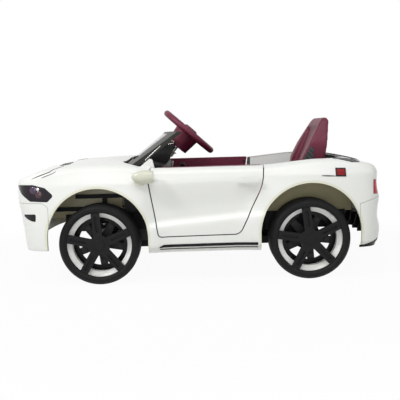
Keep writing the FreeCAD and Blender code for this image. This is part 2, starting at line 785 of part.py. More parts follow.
def door_hinge():
    """Brackets on the cabin's front wall with the two hinge pins of the left door."""
    brackets = []
    sides = (-BRACKET_SIDES[1], -BRACKET_SIDES[0])
    for z, upper in zip(HINGE_HEIGHTS, (False, True)):
        x = hinge_point(z).x
        reach = HINGE_SPAN / 2 + EAR_GAP
        ends = (z - reach - HINGE_EAR, z + reach + HINGE_EAR)
        ears = (x - EAR_HALF, x + EAR_HALF)
        pieces = [rod(hinge_point(ends[0]), hinge_point(ends[1]), HINGE_PIN)]
        for low in (ends[0], z + reach):
            pieces.append(box(ears, (-HINGE_Y - EAR_END, sides[1]), (low, low + HINGE_EAR)))
        if upper:
            pieces.append(box((ears[0], TUB_FRONT), sides, (FOOTWELL_TOP - BRACKET_LAP, ends[1])))
        else:
            pieces.append(box((TUB_FRONT + TUB_WALL, ears[1]), sides, ends))
        brackets.append(joined(pieces))
    return Part.makeCompound(brackets)


def mirror_window(grow):
    """Outline of the mirror face in the flat back of the left mirror."""
    y, z = MIRROR.y, MIRROR.z
    a, b = MIRROR_FACE
    return prism([(y - a, z - b), (y + a, z - b), (y + a, z + b), (y - a, z + b)], "yz",
                 MIRROR_BACK - 2.2, MIRROR_BACK - 0.4, 6, grow)


def mirror():
    """Left mirror housing on its stalk, hollowed for the mirror face."""
    stretch = FreeCAD.Matrix()
    stretch.scale(MIRROR_SIZE)
    head = Part.makeSphere(1.0).transformGeometry(stretch)
    head.translate(MIRROR)
    head = head.cut(box((MIRROR_BACK, 0), (-ASIDE, -200), (250, ASIDE)))
    head = head.cut(mirror_window(FIT)).cut(mirror_window(0).translated(V(1.0, 0, 0)))
    foot = layer(-MIRROR_STAND, -FIT).common(side_cut(MIRROR_FOOT, 0, 4))
    return head.fuse(foot)


# Cabin

def wheel_housing():
    """Plates round the left rear wheel: sloping front, flat top, sloping rear and the inner side."""
    apothem = ARCH_RADIUS + ARCH_LIP + WELL_ROOM
    centre = WHEEL_RADIUS + ARCH_RISE
    flat = apothem * math.tan(math.radians(WELL_TURN / 2))
    top = centre + apothem
    low = SEAT_FLOOR_Z
    foot = top - low
    front = [(REAR_AXLE_X - flat - foot, low), (REAR_AXLE_X - flat, top)]
    rear_end = TUB_REAR - TUB_WALL
    rear = [(REAR_AXLE_X + flat, top), (rear_end, top - (rear_end - REAR_AXLE_X - flat))]
    slant = TUB_WALL / math.cos(math.radians(WELL_TURN))
    outer, inner = -SILL_EDGE, -WELL_SIDE
    plates = []
    for (ax, az), (bx, bz) in (front, rear):
        plates.append(prism([(ax, az), (bx, bz), (bx, bz + slant), (ax, az + slant)], "xz", outer, inner))
    plates.append(box((front[1][0], rear[0][0]), (outer, inner), (top, top + slant)))
    side = [(front[0][0] + TUB_WALL, low + TUB_WALL), front[1], rear[0], rear[1], (rear_end, low + TUB_WALL)]
    plates.append(prism(side, "xz", inner, inner + TUB_WALL))
    return plates


def bush_plates():
    """Front wall of the footwell, in four plates round the square plate that holds the lower bush."""
    x = (FOOTWELL_FRONT, FOOTWELL_FRONT + TUB_WALL)
    low, high = FLOOR_Z + TUB_WALL, FOOTWELL_TOP
    middle = on_column(FOOT_BUSH).z
    side = (-BUSH_WINDOW, BUSH_WINDOW)
    rise = (middle - BUSH_WINDOW, middle + BUSH_WINDOW)
    plates = [box(x, (-FOOTWELL_HALF, side[0]), (low, high)), box(x, (side[1], FOOTWELL_HALF), (low, high)),
              box(x, side, (low, rise[0])), box(x, side, (rise[1], high))]
    hole = rod(on_column(FOOT_BUSH - 40), on_column(FOOT_BUSH + 40), BUSH_FLANGE + FIT)
    return plates + [box(x, side, rise).cut(hole)]


def cabin_tub():
    """Floor, footwell, door sills, seat floor and wheel housings, as plates that meet edge to edge."""
    wall = TUB_WALL
    floor = FLOOR_Z + wall
    behind = FOOTWELL_FRONT + wall
    near = PEDAL_HALF + PEDAL_SIDE_GAP
    rear_top = top_height(TUB_REAR, WELL_SIDE) - SKIN - 2 * FIT
    plates = [box((TUB_FRONT, TUB_STEP), (-TUB_HALF, TUB_HALF), (FLOOR_Z, floor)),
              box((FOOTWELL_FRONT, TUB_FRONT), (-FOOTWELL_HALF, FOOTWELL_HALF), (FLOOR_Z, floor)),
              box((TUB_STEP - wall, TUB_STEP), (-TUB_HALF, TUB_HALF), (floor, SEAT_FLOOR_Z)),
              box((TUB_STEP - wall, TUB_REAR), (-WELL_SIDE, WELL_SIDE), (SEAT_FLOOR_Z, SEAT_FLOOR_Z + wall)),
              box((TUB_REAR - wall, TUB_REAR), (-WELL_SIDE, WELL_SIDE), (SEAT_FLOOR_Z + wall, rear_top))]
    left = [box((TUB_FRONT, TUB_FRONT + wall), (-TUB_HALF, -FOOTWELL_HALF), (floor, FOOTWELL_TOP)),
            box((behind, TUB_FRONT), (-FOOTWELL_HALF, -FOOTWELL_HALF + wall), (floor, FOOTWELL_TOP)),
            box((TUB_FRONT + wall, TUB_STEP - wall), (-TUB_HALF, -TUB_HALF + wall), (floor, SILL_TOP)),
            box((TUB_FRONT + wall, TUB_STEP - wall), (-SILL_EDGE, -TUB_HALF), (SILL_TOP - wall, SILL_TOP))]
    for plate in left + wheel_housing():
        plates += both_sides(plate)
    for y in (PEDAL.y - near - PEDAL_EAR, PEDAL.y + near):
        plates.append(box((PEDAL.x - 9, PEDAL.x + 9), (y, y + PEDAL_EAR), (floor, PEDAL.z + 8)))
    plates.append(rod(PEDAL - V(0, near, 0), PEDAL + V(0, near, 0), PEDAL_PIN))
    return Part.makeCompound(plates + bush_plates())


def pedal():
    """Foot pedal, hinged at its foot and leaning towards the nose."""
    lean = FreeCAD.Placement(PEDAL, FreeCAD.Rotation(V(0, 1, 0), PEDAL_LEAN))
    half = V(0, PEDAL_HALF, 0)
    plate = box((-PEDAL_LENGTH, -4), (-PEDAL_HALF, PEDAL_HALF), PEDAL_PLATE)
    ribs = []
    for k in range(PEDAL_RIBS):
        x = -PEDAL_LENGTH + 10 + PEDAL_RIB_PITCH * k
        top = PEDAL_PLATE[1]
        ribs.append(box((x, x + 5), (-PEDAL_HALF + 5, PEDAL_HALF - 5), (top - 1, top + 2)))
    barrel = rod(-half, half, PEDAL_BARREL)
    arm = box((-16, 0), (-PEDAL_HALF, PEDAL_HALF), (0, PEDAL_BARREL))
    shape = joined([plate, barrel, arm] + ribs)
    shape = shape.cut(rod(-half, half, PEDAL_PIN + RUNNING))
    shape.Placement = lean
    return shape


def on_column(distance):
    """A point on the steering axis, measured down from the wheel's middle."""
    tilt = math.radians(STEER_TILT)
    return STEER_HUB + V(-math.sin(tilt), 0, -math.cos(tilt)) * distance


def column_placement():
    return FreeCAD.Placement(STEER_HUB, FreeCAD.Rotation(V(0, 1, 0), STEER_TILT))


def dashboard():
    dash = prism(DASH, "xz", -DASH_HALF, DASH_HALF)
    dash = dash.common(prism(CABIN, "xy", 200, ASIDE, CABIN_CORNER, -SEAM))
    foot = windscreen()
    dash = dash.cut([foot.translated(V(shift, 0, 0)) for shift in (-FIT, FIT)])
    dash = dash.cut(rod(on_column(60), on_column(300), SHAFT_RADIUS + SHAFT_ROOM))
    slot = box((LEVER.x - 14, -80), (LEVER.y - LEVER_SLOT, LEVER.y + LEVER_SLOT), (LEVER.z - 22, LEVER.z + 22))
    half_pin = V(0, LEVER_PIN_HALF + 0.5, 0)
    pins = rod(LEVER - half_pin, LEVER + half_pin, LEVER_PIN + RUNNING)
    bore = rod(BUTTON - V(20, 0, 0), BUTTON + V(20, 0, 0), BUTTON_RADIUS + BUTTON_GAP)
    hollow = prism(DASH_HOLLOW, "xz", -DASH_HALF + DASH_WEB, -DASH_WEB)
    return dash.cut([slot, pins, bore] + both_sides(hollow))


def column_pod(dash):
    """Dark pod on the dashboard that the steering column comes through."""
    pod = prism(POD, "xz", -POD_HALF, POD_HALF)
    round_top = prism([(-POD_HALF, 320), (-POD_HALF, 380, 60), (0, 418, 120), (POD_HALF, 380, 60),
                       (POD_HALF, 320)], "yz", -260, 0, 2)
    behind = SCREEN_THICK + SCREEN_GAP
    foot_x, head_x = SCREEN_FOOT[0] + behind, SCREEN_HEAD[0] + behind
    ahead = prism([(foot_x, SCREEN_FOOT[3]), (head_x, SCREEN_HEAD[3]), (head_x, 500), (-ASIDE, 500)], "xz",
                  -ASIDE, ASIDE)
    pod = pod.common(round_top).cut([dash, dash.translated(V(0, 0, FIT)), ahead])
    pod = pod.cut(rod(on_column(-30), on_column(BOSS_DEPTH + BOSS_GAP), BOSS_TOP + BOSS_GAP))
    pod = pod.cut(rod(on_column(0), on_column(POD_BUSH), BUSH_FLANGE + FIT))
    return pod.cut(rod(on_column(0), on_column(200), BUSH_RADIUS + FIT / 2))


def column_bush(distance):
    """Plain bearing of the steering shaft, with a flange."""
    seat_point = on_column(distance - FIT / 2)
    bush = joined([rod(seat_point, on_column(distance + BUSH_LENGTH), BUSH_RADIUS),
                   rod(on_column(distance - 3), seat_point, BUSH_FLANGE)])
    return bush.cut(rod(on_column(0), on_column(SHAFT_LENGTH), SHAFT_RADIUS + RUNNING))


def steering_wheel():
    """Rim, three spokes and the deep boss, with a pocket for the horn button."""
    ring = Part.makeTorus(STEER_RING, STEER_GRIP)
    boss = Part.makeCone(BOSS_FOOT, BOSS_TOP, BOSS_DEPTH, V(0, 0, -BOSS_DEPTH))
    dome = Part.makeCone(BOSS_TOP, HORN_RADIUS + 8, BOSS_DOME)
    spokes = []
    for angle in (0, 90, -90):
        spoke = prism(STEER_SPOKE, "xy", *STEER_SPOKE_SIDES, 3)
        spokes.append(spoke.rotated(V(0, 0, 0), V(0, 0, 1), angle))
    wheel = joined([ring, boss, dome] + spokes)
    wheel = wheel.cut(Part.makeCylinder(HORN_RADIUS + HORN_GAP, 40, V(0, 0, HORN_SEAT - HORN_TRAVEL)))
    socket_foot = V(0, 0, -BOSS_DEPTH - SHAFT_TOP + 0.5)
    wheel = wheel.cut(Part.makeCylinder(SHAFT_RADIUS + PRESS_FIT, BOSS_DEPTH, socket_foot))
    wheel.Placement = column_placement()
    return wheel


def horn_button():
    low, high = HORN_SEAT + FIT, BOSS_DOME + 2
    button = Part.makeCylinder(HORN_RADIUS, high - low, V(0, 0, low)).fuse(
        Part.makeCone(HORN_RADIUS, HORN_RADIUS - 6, 4, V(0, 0, high)))
    button.Placement = column_placement()
    return button.removeSplitter()


def steering_shaft():
    """Steel shaft with a crank at its foot, whose pin pushes the tie rod sideways."""
    shaft = rod(on_column(SHAFT_TOP), on_column(SHAFT_LENGTH), SHAFT_RADIUS)
    crank = box((-8, CRANK + 7), (-8, 8), (-SHAFT_LENGTH - 3, -SHAFT_LENGTH + 3))
    pin = Part.makeCylinder(CRANK_PIN, 26, V(CRANK, 0, -SHAFT_LENGTH - 26))
    foot = crank.fuse(pin)
    foot.Placement = column_placement()
    return joined([shaft, foot])


def tie_rod():
    """Flat bar between the two steering arms, with a slotted tab for the crank pin."""
    x = FRONT_AXLE_X + ARM
    bar = box((x - 10, x + 10), (-KINGPIN_Y - 12, KINGPIN_Y + 12), (TIE_ROD_Z, TIE_ROD_Z + TIE_ROD_THICK))
    give = ARM * (1 - math.cos(math.radians(KNUCKLE_SWING))) + SLOT_END
    for y in (-KINGPIN_Y, KINGPIN_Y):
        room = ARM_PIN + ARM_SLOT_GAP
        slot = prism([(x - give - room, y - room), (x + room, y - room), (x + room, y + room),
                      (x - give - room, y + room)], "xy", TIE_ROD_Z - 5, TIE_ROD_Z + 20, room - 0.05)
        bar = bar.cut(slot)
    middle = -SHAFT_LENGTH - 15
    tab = box((CRANK - 20, CRANK + 14), (-17, 17), (middle - 2.5, middle + 2.5))
    reach = CRANK * (1 - math.cos(math.radians(STEER_SWING))) + SLOT_END
    room = CRANK_PIN + CRANK_SLOT_GAP
    slot = prism([(CRANK - reach - room, -room), (CRANK + room, -room), (CRANK + room, room),
                  (CRANK - reach - room, room)], "xy", middle - 20, middle + 20, room - 0.05)
    tab = tab.cut(slot)
    tab.Placement = column_placement()
    foot = box((x - 10, x - 4), (-17, 17), (TIE_ROD_Z, TIE_ROD_Z + 12))
    room = slot.copy()
    room.Placement = column_placement()
    return joined([bar, tab, foot.cut(room)])


def shift_lever():
    """Forward and reverse lever on the dashboard."""
    tip = LEVER + LEVER_REACH
    stem = rod(LEVER, tip, LEVER_STEM)
    half_barrel = V(0, LEVER_SLOT - 0.6, 0)
    barrel = rod(LEVER - half_barrel, LEVER + half_barrel, LEVER_PIN + 4)
    half_pin = V(0, LEVER_PIN_HALF, 0)
    pin = rod(LEVER - half_pin, LEVER + half_pin, LEVER_PIN)
    return joined([stem, barrel, pin, Part.makeSphere(LEVER_KNOB, tip)])


def power_button():
    low = BUTTON - V(BUTTON_BASE, 0, 0)
    rim = BUTTON - V(1, 0, 0)
    return rod(low, rim, BUTTON_RADIUS).fuse(rod(rim, rim + V(BUTTON_CROWN, 0, 0), BUTTON_RADIUS - 2))


def seat():
    """One moulding: cushion, back and side bolsters, rounded at the top."""
    back = prism(SEAT_SIDE, "xz", -SEAT_HALF, SEAT_HALF, 2).common(prism(SEAT_FRONT, "yz", 200, 520, 2))
    back = back.cut(prism(SEAT_CHANNEL, "xz", -CHANNEL_HALF, CHANNEL_HALF, 4))
    cushion = prism(CUSHION, "xz", -SEAT_HALF, SEAT_HALF, 4)
    lift = V(0, 0, SEAT_FLOOR_Z + TUB_WALL + FIT / 2 - CUSHION[0][1])
    whole = joined([back, cushion])
    hollows = [prism(SEAT_HOLLOW, "xz", -CHANNEL_HALF + SEAT_WALL, CHANNEL_HALF - SEAT_WALL)]
    hollows += both_sides(prism(BOLSTER_HOLLOW, "xz", -SEAT_HALF + SEAT_WALL, -CHANNEL_HALF - SEAT_WALL))
    under_cushion = prism(CUSHION, "xz", -SEAT_HALF + SEAT_WALL, SEAT_HALF - SEAT_WALL, 4, -SEAT_WALL)
    hollows.append(under_cushion.translated(V(0, 0, -SEAT_WALL)))
    whole = whole.cut(hollows)
    under = box((100, 500), (-200, 200), (100, CUSHION[0][1]))
    return whole.cut(under).translated(lift)


def seat_panels():
    plate = prism(SIDE_PANEL, "xz", -SEAT_HALF - PANEL_THICK, -SEAT_HALF - 0.2, 8)
    return Part.makeCompound(both_sides(plate))


def screen_slice(front, side, half, z):
    """One level of the curved windscreen: an arc bowed to the front, with thickness."""
    def bow(offset):
        return [V(side + offset, -half, z), V(front + offset, 0, z), V(side + offset, half, z)]
    a, b = bow(0), bow(SCREEN_THICK)
    return Part.Wire([Part.Arc(*a).toShape(), Part.LineSegment(a[2], b[2]).toShape(),
                      Part.Arc(*reversed(b)).toShape(), Part.LineSegment(b[0], a[0]).toShape()])


def screen_rail():
    """The deep left edge of the windscreen, tapering to the top."""
    rings = []
    for (front, side, half, z), depth in ((SCREEN_FOOT, RAIL_FOOT), (SCREEN_HEAD, RAIL_HEAD)):
        outer, inner = -half, -half + RAIL_WIDTH
        rings.append(Part.makePolygon([V(side, outer, z), V(side + depth, outer, z), V(side + depth, inner, z),
                                       V(side, inner, z), V(side, outer, z)]))
    return Part.makeLoft(rings, True, True)


def windscreen():
    """Smoked curved screen with a deep rail along each side."""
    sheet = Part.makeLoft([screen_slice(*SCREEN_FOOT), screen_slice(*SCREEN_HEAD)], True, True)
    return joined([sheet] + both_sides(screen_rail()))


# Chassis and front axle

def chassis():
    """Ladder of two rails with cross members, a deck plate and the rear axle brackets."""
    full = (-RAIL_SIDES[1], RAIL_SIDES[1])
    left = (-RAIL_SIDES[1], -RAIL_SIDES[0])
    pieces = both_sides(box(RAIL_ENDS, left, RAIL_Z))
    for x in CROSS_MEMBERS:
        pieces.append(box((x - CROSS_HALF, x + CROSS_HALF), full, RAIL_Z))
    pieces.append(box(RAIL_ENDS, full, (RAIL_Z[1] - DECK_PLATE, RAIL_Z[1])))
    pieces += both_sides(box((REAR_AXLE_X - AXLE_BRACKET, REAR_AXLE_X + AXLE_BRACKET), left,
                             (RAIL_Z[0], WHEEL_RADIUS + AXLE_BRACKET)))
    frame = joined(pieces)
    axle = rod(V(REAR_AXLE_X, -200, WHEEL_RADIUS), V(REAR_AXLE_X, 200, WHEEL_RADIUS), AXLE_RADIUS + PRESS_FIT)
    frame = frame.cut(axle)
    holes = []
    for x, y in bolt_places():
        holes.append(rod(V(x, y, 60), V(x, y, RAIL_Z[1] - 2), BOLT_RADIUS + RUNNING))
        holes.append(rod(V(x, y, 60), V(x, y, RAIL_Z[0] + BOLT_HEAD), BOLT_RADIUS + 3))
    return frame.cut(holes)


def bolt_places():
    y = (RAIL_SIDES[0] + RAIL_SIDES[1]) / 2
    return [(x, side * y) for x in BOLT_ROWS for side in (-1, 1)]


def chassis_bolts():
    bolts = []
    for x, y in bolt_places():
        seat_z = RAIL_Z[0] + BOLT_HEAD
        head = rod(V(x, y, RAIL_Z[0] + 1), V(x, y, seat_z), BOLT_RADIUS + 2.5)
        slot = box((x - 8, x + 8), (y - 0.8, y + 0.8), (RAIL_Z[0], RAIL_Z[0] + 2.5))
        shank = rod(V(x, y, seat_z), V(x, y, RAIL_Z[1] - DECK_PLATE), BOLT_RADIUS)
        bolts.append(joined([head.cut(slot), shank]))
    return Part.makeCompound(bolts)


def front_beam():
    """Front axle beam with its forked ends, and the bars that carry the nose."""
    x = FRONT_AXLE_X
    pieces = [box((x - 10, x + 10), (-BAR_SIDES[1] + 1, BAR_SIDES[1] - 1), (RAIL_Z[1], WHEEL_RADIUS))]
    low, high = KNUCKLE_ENDS[0] - FIT, KNUCKLE_ENDS[1] + FIT
    nose_bar = (NOSE_BAR_Z, NOSE_BAR_Z + BAR_THICK)
    top_bar = (TOP_BAR_Z, TOP_BAR_Z + BAR_THICK)
    fork = (x - FORK_HALF, x + FORK_HALF)
    for side in (-1, 1):
        inner, outer = side * (KINGPIN_Y - KNUCKLE_RADIUS - 12), side * (KINGPIN_Y + KNUCKLE_RADIUS)
        span = (min(inner, outer), max(inner, outer))
        pieces.append(box(fork, span, (low - FORK_THICK, low)))
        pieces.append(box(fork, span, (high, high + FORK_THICK)))
        web = side * (KINGPIN_Y - KNUCKLE_RADIUS - 2)
        pieces.append(box(fork, (min(inner, web), max(inner, web)), (low - FORK_THICK, high + FORK_THICK)))
        bar = tuple(sorted(side * y for y in BAR_SIDES))
        pieces.append(box((x - 6, x + 8), bar, (WHEEL_RADIUS - 4, top_bar[1])))
        pieces.append(box((BAR_NOSE, x), bar, nose_bar))
        pieces.append(box((x - TOP_BAR_AHEAD, FOOTWELL_FRONT - 2), bar, top_bar))
    pieces.append(box((BAR_NOSE, BAR_NOSE + BAR_THICK), (-BAR_SIDES[1], BAR_SIDES[1]), nose_bar))
    beam = joined(pieces)
    for y in (-KINGPIN_Y, KINGPIN_Y):
        beam = beam.cut(rod(V(x, y, 40), V(x, y, 200), KINGPIN_RADIUS + PRESS_FIT))
    return beam


def kingpins():
    pins = []
    low, high = KNUCKLE_ENDS[0] - FIT - FORK_THICK, KNUCKLE_ENDS[1] + FIT + FORK_THICK
    for y in (-KINGPIN_Y, KINGPIN_Y):
        shank = rod(V(FRONT_AXLE_X, y, low - 8), V(FRONT_AXLE_X, y, high), KINGPIN_RADIUS)
        head = rod(V(FRONT_AXLE_X, y, high), V(FRONT_AXLE_X, y, high + 5), KINGPIN_HEAD)
        foot = rod(V(FRONT_AXLE_X, y, low - 6), V(FRONT_AXLE_X, y, low), KINGPIN_HEAD)
        pins.append(joined([shank, head, foot]))
    return Part.makeCompound(pins)


def axle_nut(x, side):
    """Hexagon nut on the outer end of an axle."""
    corners = [(x + NUT_RADIUS * math.cos(math.radians(60 * k)),
                WHEEL_RADIUS + NUT_RADIUS * math.sin(math.radians(60 * k))) for k in range(6)]
    near = side * (HUB_ENDS[1] + 0.5)
    nut = prism(corners, "xz", near, near + side * NUT_THICK)
    return nut.cut(rod(V(x, -ASIDE, WHEEL_RADIUS), V(x, ASIDE, WHEEL_RADIUS), AXLE_RADIUS + PRESS_FIT))


def knuckle():
    """Left steering knuckle: upright on its kingpin, stub axle, shoulder, steering arm and axle nut."""
    x, y = FRONT_AXLE_X, -KINGPIN_Y
    upright = rod(V(x, y, KNUCKLE_ENDS[0]), V(x, y, KNUCKLE_ENDS[1]), KNUCKLE_RADIUS)
    block = box((x - 11, x + 11), (y - 19, y), (WHEEL_RADIUS - 13, WHEEL_RADIUS + 13))
    shoulder = rod(V(x, y - 18, WHEEL_RADIUS), V(x, -HUB_ENDS[0] + 0.5, WHEEL_RADIUS), 11)
    stub = rod(V(x, y - 10, WHEEL_RADIUS), V(x, -HUB_ENDS[1] - AXLE_END, WHEEL_RADIUS), AXLE_RADIUS)
    arm = prism([(x, y - 9), (x + ARM + 9, y - 9), (x + ARM + 9, y + 9), (x, y + 9)], "xy",
                TIE_ROD_Z - 10, TIE_ROD_Z - 0.6, 8)
    pin = rod(V(x + ARM, y, TIE_ROD_Z - 5), V(x + ARM, y, TIE_ROD_Z + TIE_ROD_THICK + 5), ARM_PIN)
    shape = joined([upright, block, shoulder, stub, arm, pin])
    shape = shape.cut(rod(V(x, y, 0), V(x, y, 300), KINGPIN_RADIUS + RUNNING))
    return Part.makeCompound([shape, axle_nut(x, -1)])


# Wheels

def turned(points, corner):
    """A ring turned about the wheel axis from a section given as radius and y."""
    wire = rounded_wire(points, "xy", 0, corner)
    return Part.Face(wire).revolve(V(0, 0, 0), V(0, 1, 0), 360)


def tyre():
    """Left tyre: rounded shoulders and three grooves round the tread."""
    r, outer, inner = WHEEL_RADIUS, -TYRE_FACE, -TYRE_FACE + TYRE_WIDTH
    bead = RIM_RADIUS + 8
    ring = turned([(RIM_RADIUS, outer + 4), (bead, outer, 6), (r - 8, outer + 1, 8), (r, outer + 11, 7),
                   (r, inner - 11, 7), (r - 8, inner - 1, 8), (bead, inner, 6), (RIM_RADIUS, inner - 4)], 2)
    middle = (outer + inner) / 2
    grooves = []
    for k in (-1, 0, 1):
        y = middle + k * TREAD_PITCH
        deep = r - TREAD_DEPTH
        grooves.append(turned([(deep, y - 2), (r + 5, y - 3), (r + 5, y + 3), (deep, y + 2)], 0))
    hollow = [(RIM_RADIUS - 1, outer + TYRE_WALL), (r - TYRE_WALL, outer + TYRE_WALL, 6),
              (r - TYRE_WALL, inner - TYRE_WALL, 6), (RIM_RADIUS - 1, inner - TYRE_WALL)]
    return ring.cut(grooves + [turned(hollow, 0)])


def rim():
    """Left rim: barrel with the sloping white band, hub, and five inner spokes with bolt bosses."""
    face, back = -RIM_FACE, -TYRE_FACE + TYRE_WIDTH - 4
    seat_radius = RIM_RADIUS - 0.3
    deep = face + RIM_DEPTH
    waist = seat_radius - RIM_SLOPE - RIM_EDGE
    inside = seat_radius - RIM_WALL
    web = deep + RIM_WEB
    barrel = turned([(seat_radius, face), (seat_radius - RIM_EDGE, face), (waist, deep), (waist, web),
                     (inside, web + 8), (inside, back), (seat_radius, back)], 0.3)
    pieces = [barrel, rod(V(0, -HUB_ENDS[1], 0), V(0, -HUB_ENDS[0], 0), HUB_RADIUS)]
    for k in range(SPOKES):
        spoke = prism([(-13, 15), (-9, seat_radius - 8), (9, seat_radius - 8), (13, 15)], "xz", deep, web)
        boss = rod(V(0, deep - 4, BOLT_CIRCLE), V(0, deep + 4, BOLT_CIRCLE), BOLT_BOSS)
        for piece in (spoke, boss):
            pieces.append(piece.rotated(V(0, 0, 0), V(0, 1, 0), 360.0 / SPOKES * (k + 0.5)))
    return joined(pieces).cut(rod(V(0, -ASIDE, 0), V(0, 0, 0), AXLE_RADIUS + RUNNING))


def wheel_cap():
    """Left wheel cap: five spokes, each split by a groove, on a collar that sits on the rim's hub."""
    tip = RIM_RADIUS - 0.6
    back = -RIM_FACE - FIT
    pieces = [rod(V(0, -CAP_FACE, 0), V(0, back, 0), CAP_DISC),
              rod(V(0, -CAP_FACE - 2, 0), V(0, -CAP_FACE, 0), CAP_BADGE),
              sleeve(V(0, back, 0), V(0, -HUB_ENDS[1] - 0.2, 0), HUB_RADIUS, HUB_RADIUS - 5)]
    for k in range(SPOKES):
        spoke = prism([(-SPOKE_FOOT / 2, 18), (-SPOKE_TIP / 2, tip + 9), (SPOKE_TIP / 2, tip + 9),
                       (SPOKE_FOOT / 2, 18)], "xz", -CAP_FACE, back)
        groove = prism([(-GROOVE / 2, 38, 2), (-GROOVE / 2 - 1, tip - 9, 3), (GROOVE / 2 + 1, tip - 9, 3),
                        (GROOVE / 2, 38, 2)], "xz", -CAP_FACE - 5, -CAP_FACE + GROOVE_DEPTH)
        pieces.append(spoke.cut(groove).rotated(V(0, 0, 0), V(0, 1, 0), 360.0 / SPOKES * k))
    limit = rod(V(0, -ASIDE, 0), V(0, 0, 0), tip)
    return joined(pieces).common(limit)


def placed_wheel(shape, axle_x, spoke_angle, right):
    """A left wheel piece turned to its rest angle and moved to its axle, mirrored for the right."""
    piece = shape.rotated(V(0, 0, 0), V(0, 1, 0), -(spoke_angle - 90.0))
    piece = piece.translated(V(axle_x, 0, WHEEL_RADIUS))
    return mirrored(piece) if right else piece


# Drive

def gear(teeth, side_from, side_to, tooth_angle):
    """A spur gear about the Y axis, with one tooth centred at an angle from +X towards +Z."""
    pitch = GEAR_MODULE * teeth / 2
    pressure = math.radians(PRESSURE_ANGLE)
    base = pitch * math.cos(pressure)
    root, tip = pitch - 1.25 * GEAR_MODULE, pitch + GEAR_MODULE
    spread = math.tan(pressure) - pressure
    half = math.pi / 2 / teeth - BACKLASH / 2 / pitch

    def place(radius, angle):
        return V(radius * math.cos(angle), 0, radius * math.sin(angle))

    def flank(middle, side):
        points = []
        for k in range(5):
            radius = mix(max(base, root), tip, k / 4.0)
            roll = math.acos(min(base / radius, 1.0))
            points.append(place(radius, middle + side * (half + spread - math.tan(roll) + roll)))
        return points

    edges = []
    for k in range(teeth):
        middle = math.radians(tooth_angle) + 2 * math.pi * k / teeth
        low, high = flank(middle, -1), flank(middle, 1)
        rise, fall = Part.BSplineCurve(), Part.BSplineCurve()
        rise.interpolate(low)
        fall.interpolate(list(reversed(high)))
        foot_angle = half + spread if root < base else half + 0.02
        start, stop = place(root, middle - foot_angle), place(root, middle + foot_angle)
        after = place(root, middle + 2 * math.pi / teeth - foot_angle)
        edges += [Part.LineSegment(start, low[0]).toShape(), rise.toShape(),
                  Part.LineSegment(low[-1], high[-1]).toShape(), fall.toShape(),
                  Part.LineSegment(high[0], stop).toShape(), Part.LineSegment(stop, after).toShape()]
    blank = Part.Face(Part.Wire(edges)).extrude(V(0, side_to - side_from, 0))
    return blank.translated(V(0, side_from, 0))


def motor_place():
    """Motor axis: one gear centre distance from the rear axle, forward and up."""
    distance = GEAR_MODULE * (WHEEL_TEETH + PINION_TEETH) / 2
    angle = math.radians(MOTOR_ANGLE)
    return V(REAR_AXLE_X + distance * math.cos(angle), 0, WHEEL_RADIUS + distance * math.sin(angle))


def drive_gear():
    """Left output gear with the sleeve that turns the wheel."""
    wheel = gear(WHEEL_TEETH, -GEAR_FACE[1], -GEAR_FACE[0], MOTOR_ANGLE)
    hub = rod(V(0, -HUB_ENDS[0] + 0.2, 0), V(0, -GEAR_FACE[0] + 4, 0), SLEEVE_RADIUS)
    whole = joined([wheel, hub]).cut(rod(V(0, -ASIDE, 0), V(0, 0, 0), AXLE_RADIUS + RUNNING))
    return whole.translated(V(REAR_AXLE_X, 0, WHEEL_RADIUS))


def motor_pinion():
    pinion = gear(PINION_TEETH, -GEAR_FACE[1] - 1, -GEAR_FACE[0] + 1, MOTOR_ANGLE + 180 + 180.0 / PINION_TEETH)
    shaft = rod(V(0, -GEAR_FACE[1] - 4, 0), V(0, -MOTOR_SIDES[1] + 8, 0), MOTOR_SHAFT)
    return joined([pinion, shaft]).translated(motor_place())


def gear_space(grow, sides):
    """The outline of the gear pair, grown, between two planes."""
    motor = motor_place()
    axle = V(REAR_AXLE_X, 0, WHEEL_RADIUS)
    wheel_radius = GEAR_MODULE * (WHEEL_TEETH / 2 + 1) + grow
    pinion_radius = GEAR_MODULE * (PINION_TEETH / 2 + 1) + grow
    near, far = V(0, -sides[0], 0), V(0, -sides[1], 0)
    across = (motor - axle).cross(V(0, 1, 0))
    across.normalize()
    a, b = axle + across * pinion_radius, axle - across * pinion_radius
    c, d = motor - across * pinion_radius, motor + across * pinion_radius
    bridge = prism([(p.x, p.z) for p in (a, b, c, d)], "xz", -sides[0], -sides[1])
    return joined([rod(axle + near, axle + far, wheel_radius),
                   rod(motor + near, motor + far, pinion_radius), bridge])


def gearbox():
    """Left gear housing, hollow round the gear pair, with holes for the axle, the sleeve and the motor."""
    inner = (BOX_SIDES[0] + BOX_WALL, BOX_SIDES[1] - BOX_WALL)
    housing = gear_space(BOX_ROOM + BOX_WALL, BOX_SIDES).cut(gear_space(BOX_ROOM, inner))
    axle = V(REAR_AXLE_X, 0, WHEEL_RADIUS)
    housing = housing.cut(rod(axle + V(0, -150, 0), axle + V(0, -250, 0), SLEEVE_RADIUS + 0.4))
    housing = housing.cut(rod(axle + V(0, -150, 0), axle, AXLE_RADIUS + 0.3))
    return housing.cut(rod(motor_place(), motor_place() + V(0, -130, 0), MOTOR_SHAFT + 1.0))


def motor():
    """Left motor can with its end bearing."""
    place = motor_place()
    can = rod(place + V(0, -MOTOR_SIDES[0], 0), place + V(0, -MOTOR_SIDES[1], 0), MOTOR_RADIUS)
    tail = rod(place + V(0, -MOTOR_SIDES[0] + 5, 0), place + V(0, -MOTOR_SIDES[0], 0), 6)
    shaft_from, shaft_to = place + V(0, -MOTOR_SIDES[1] + 10, 0), place + V(0, -150, 0)
    can = can.fuse(tail).cut(rod(shaft_from, shaft_to, MOTOR_SHAFT + RUNNING))
    return can.removeSplitter()


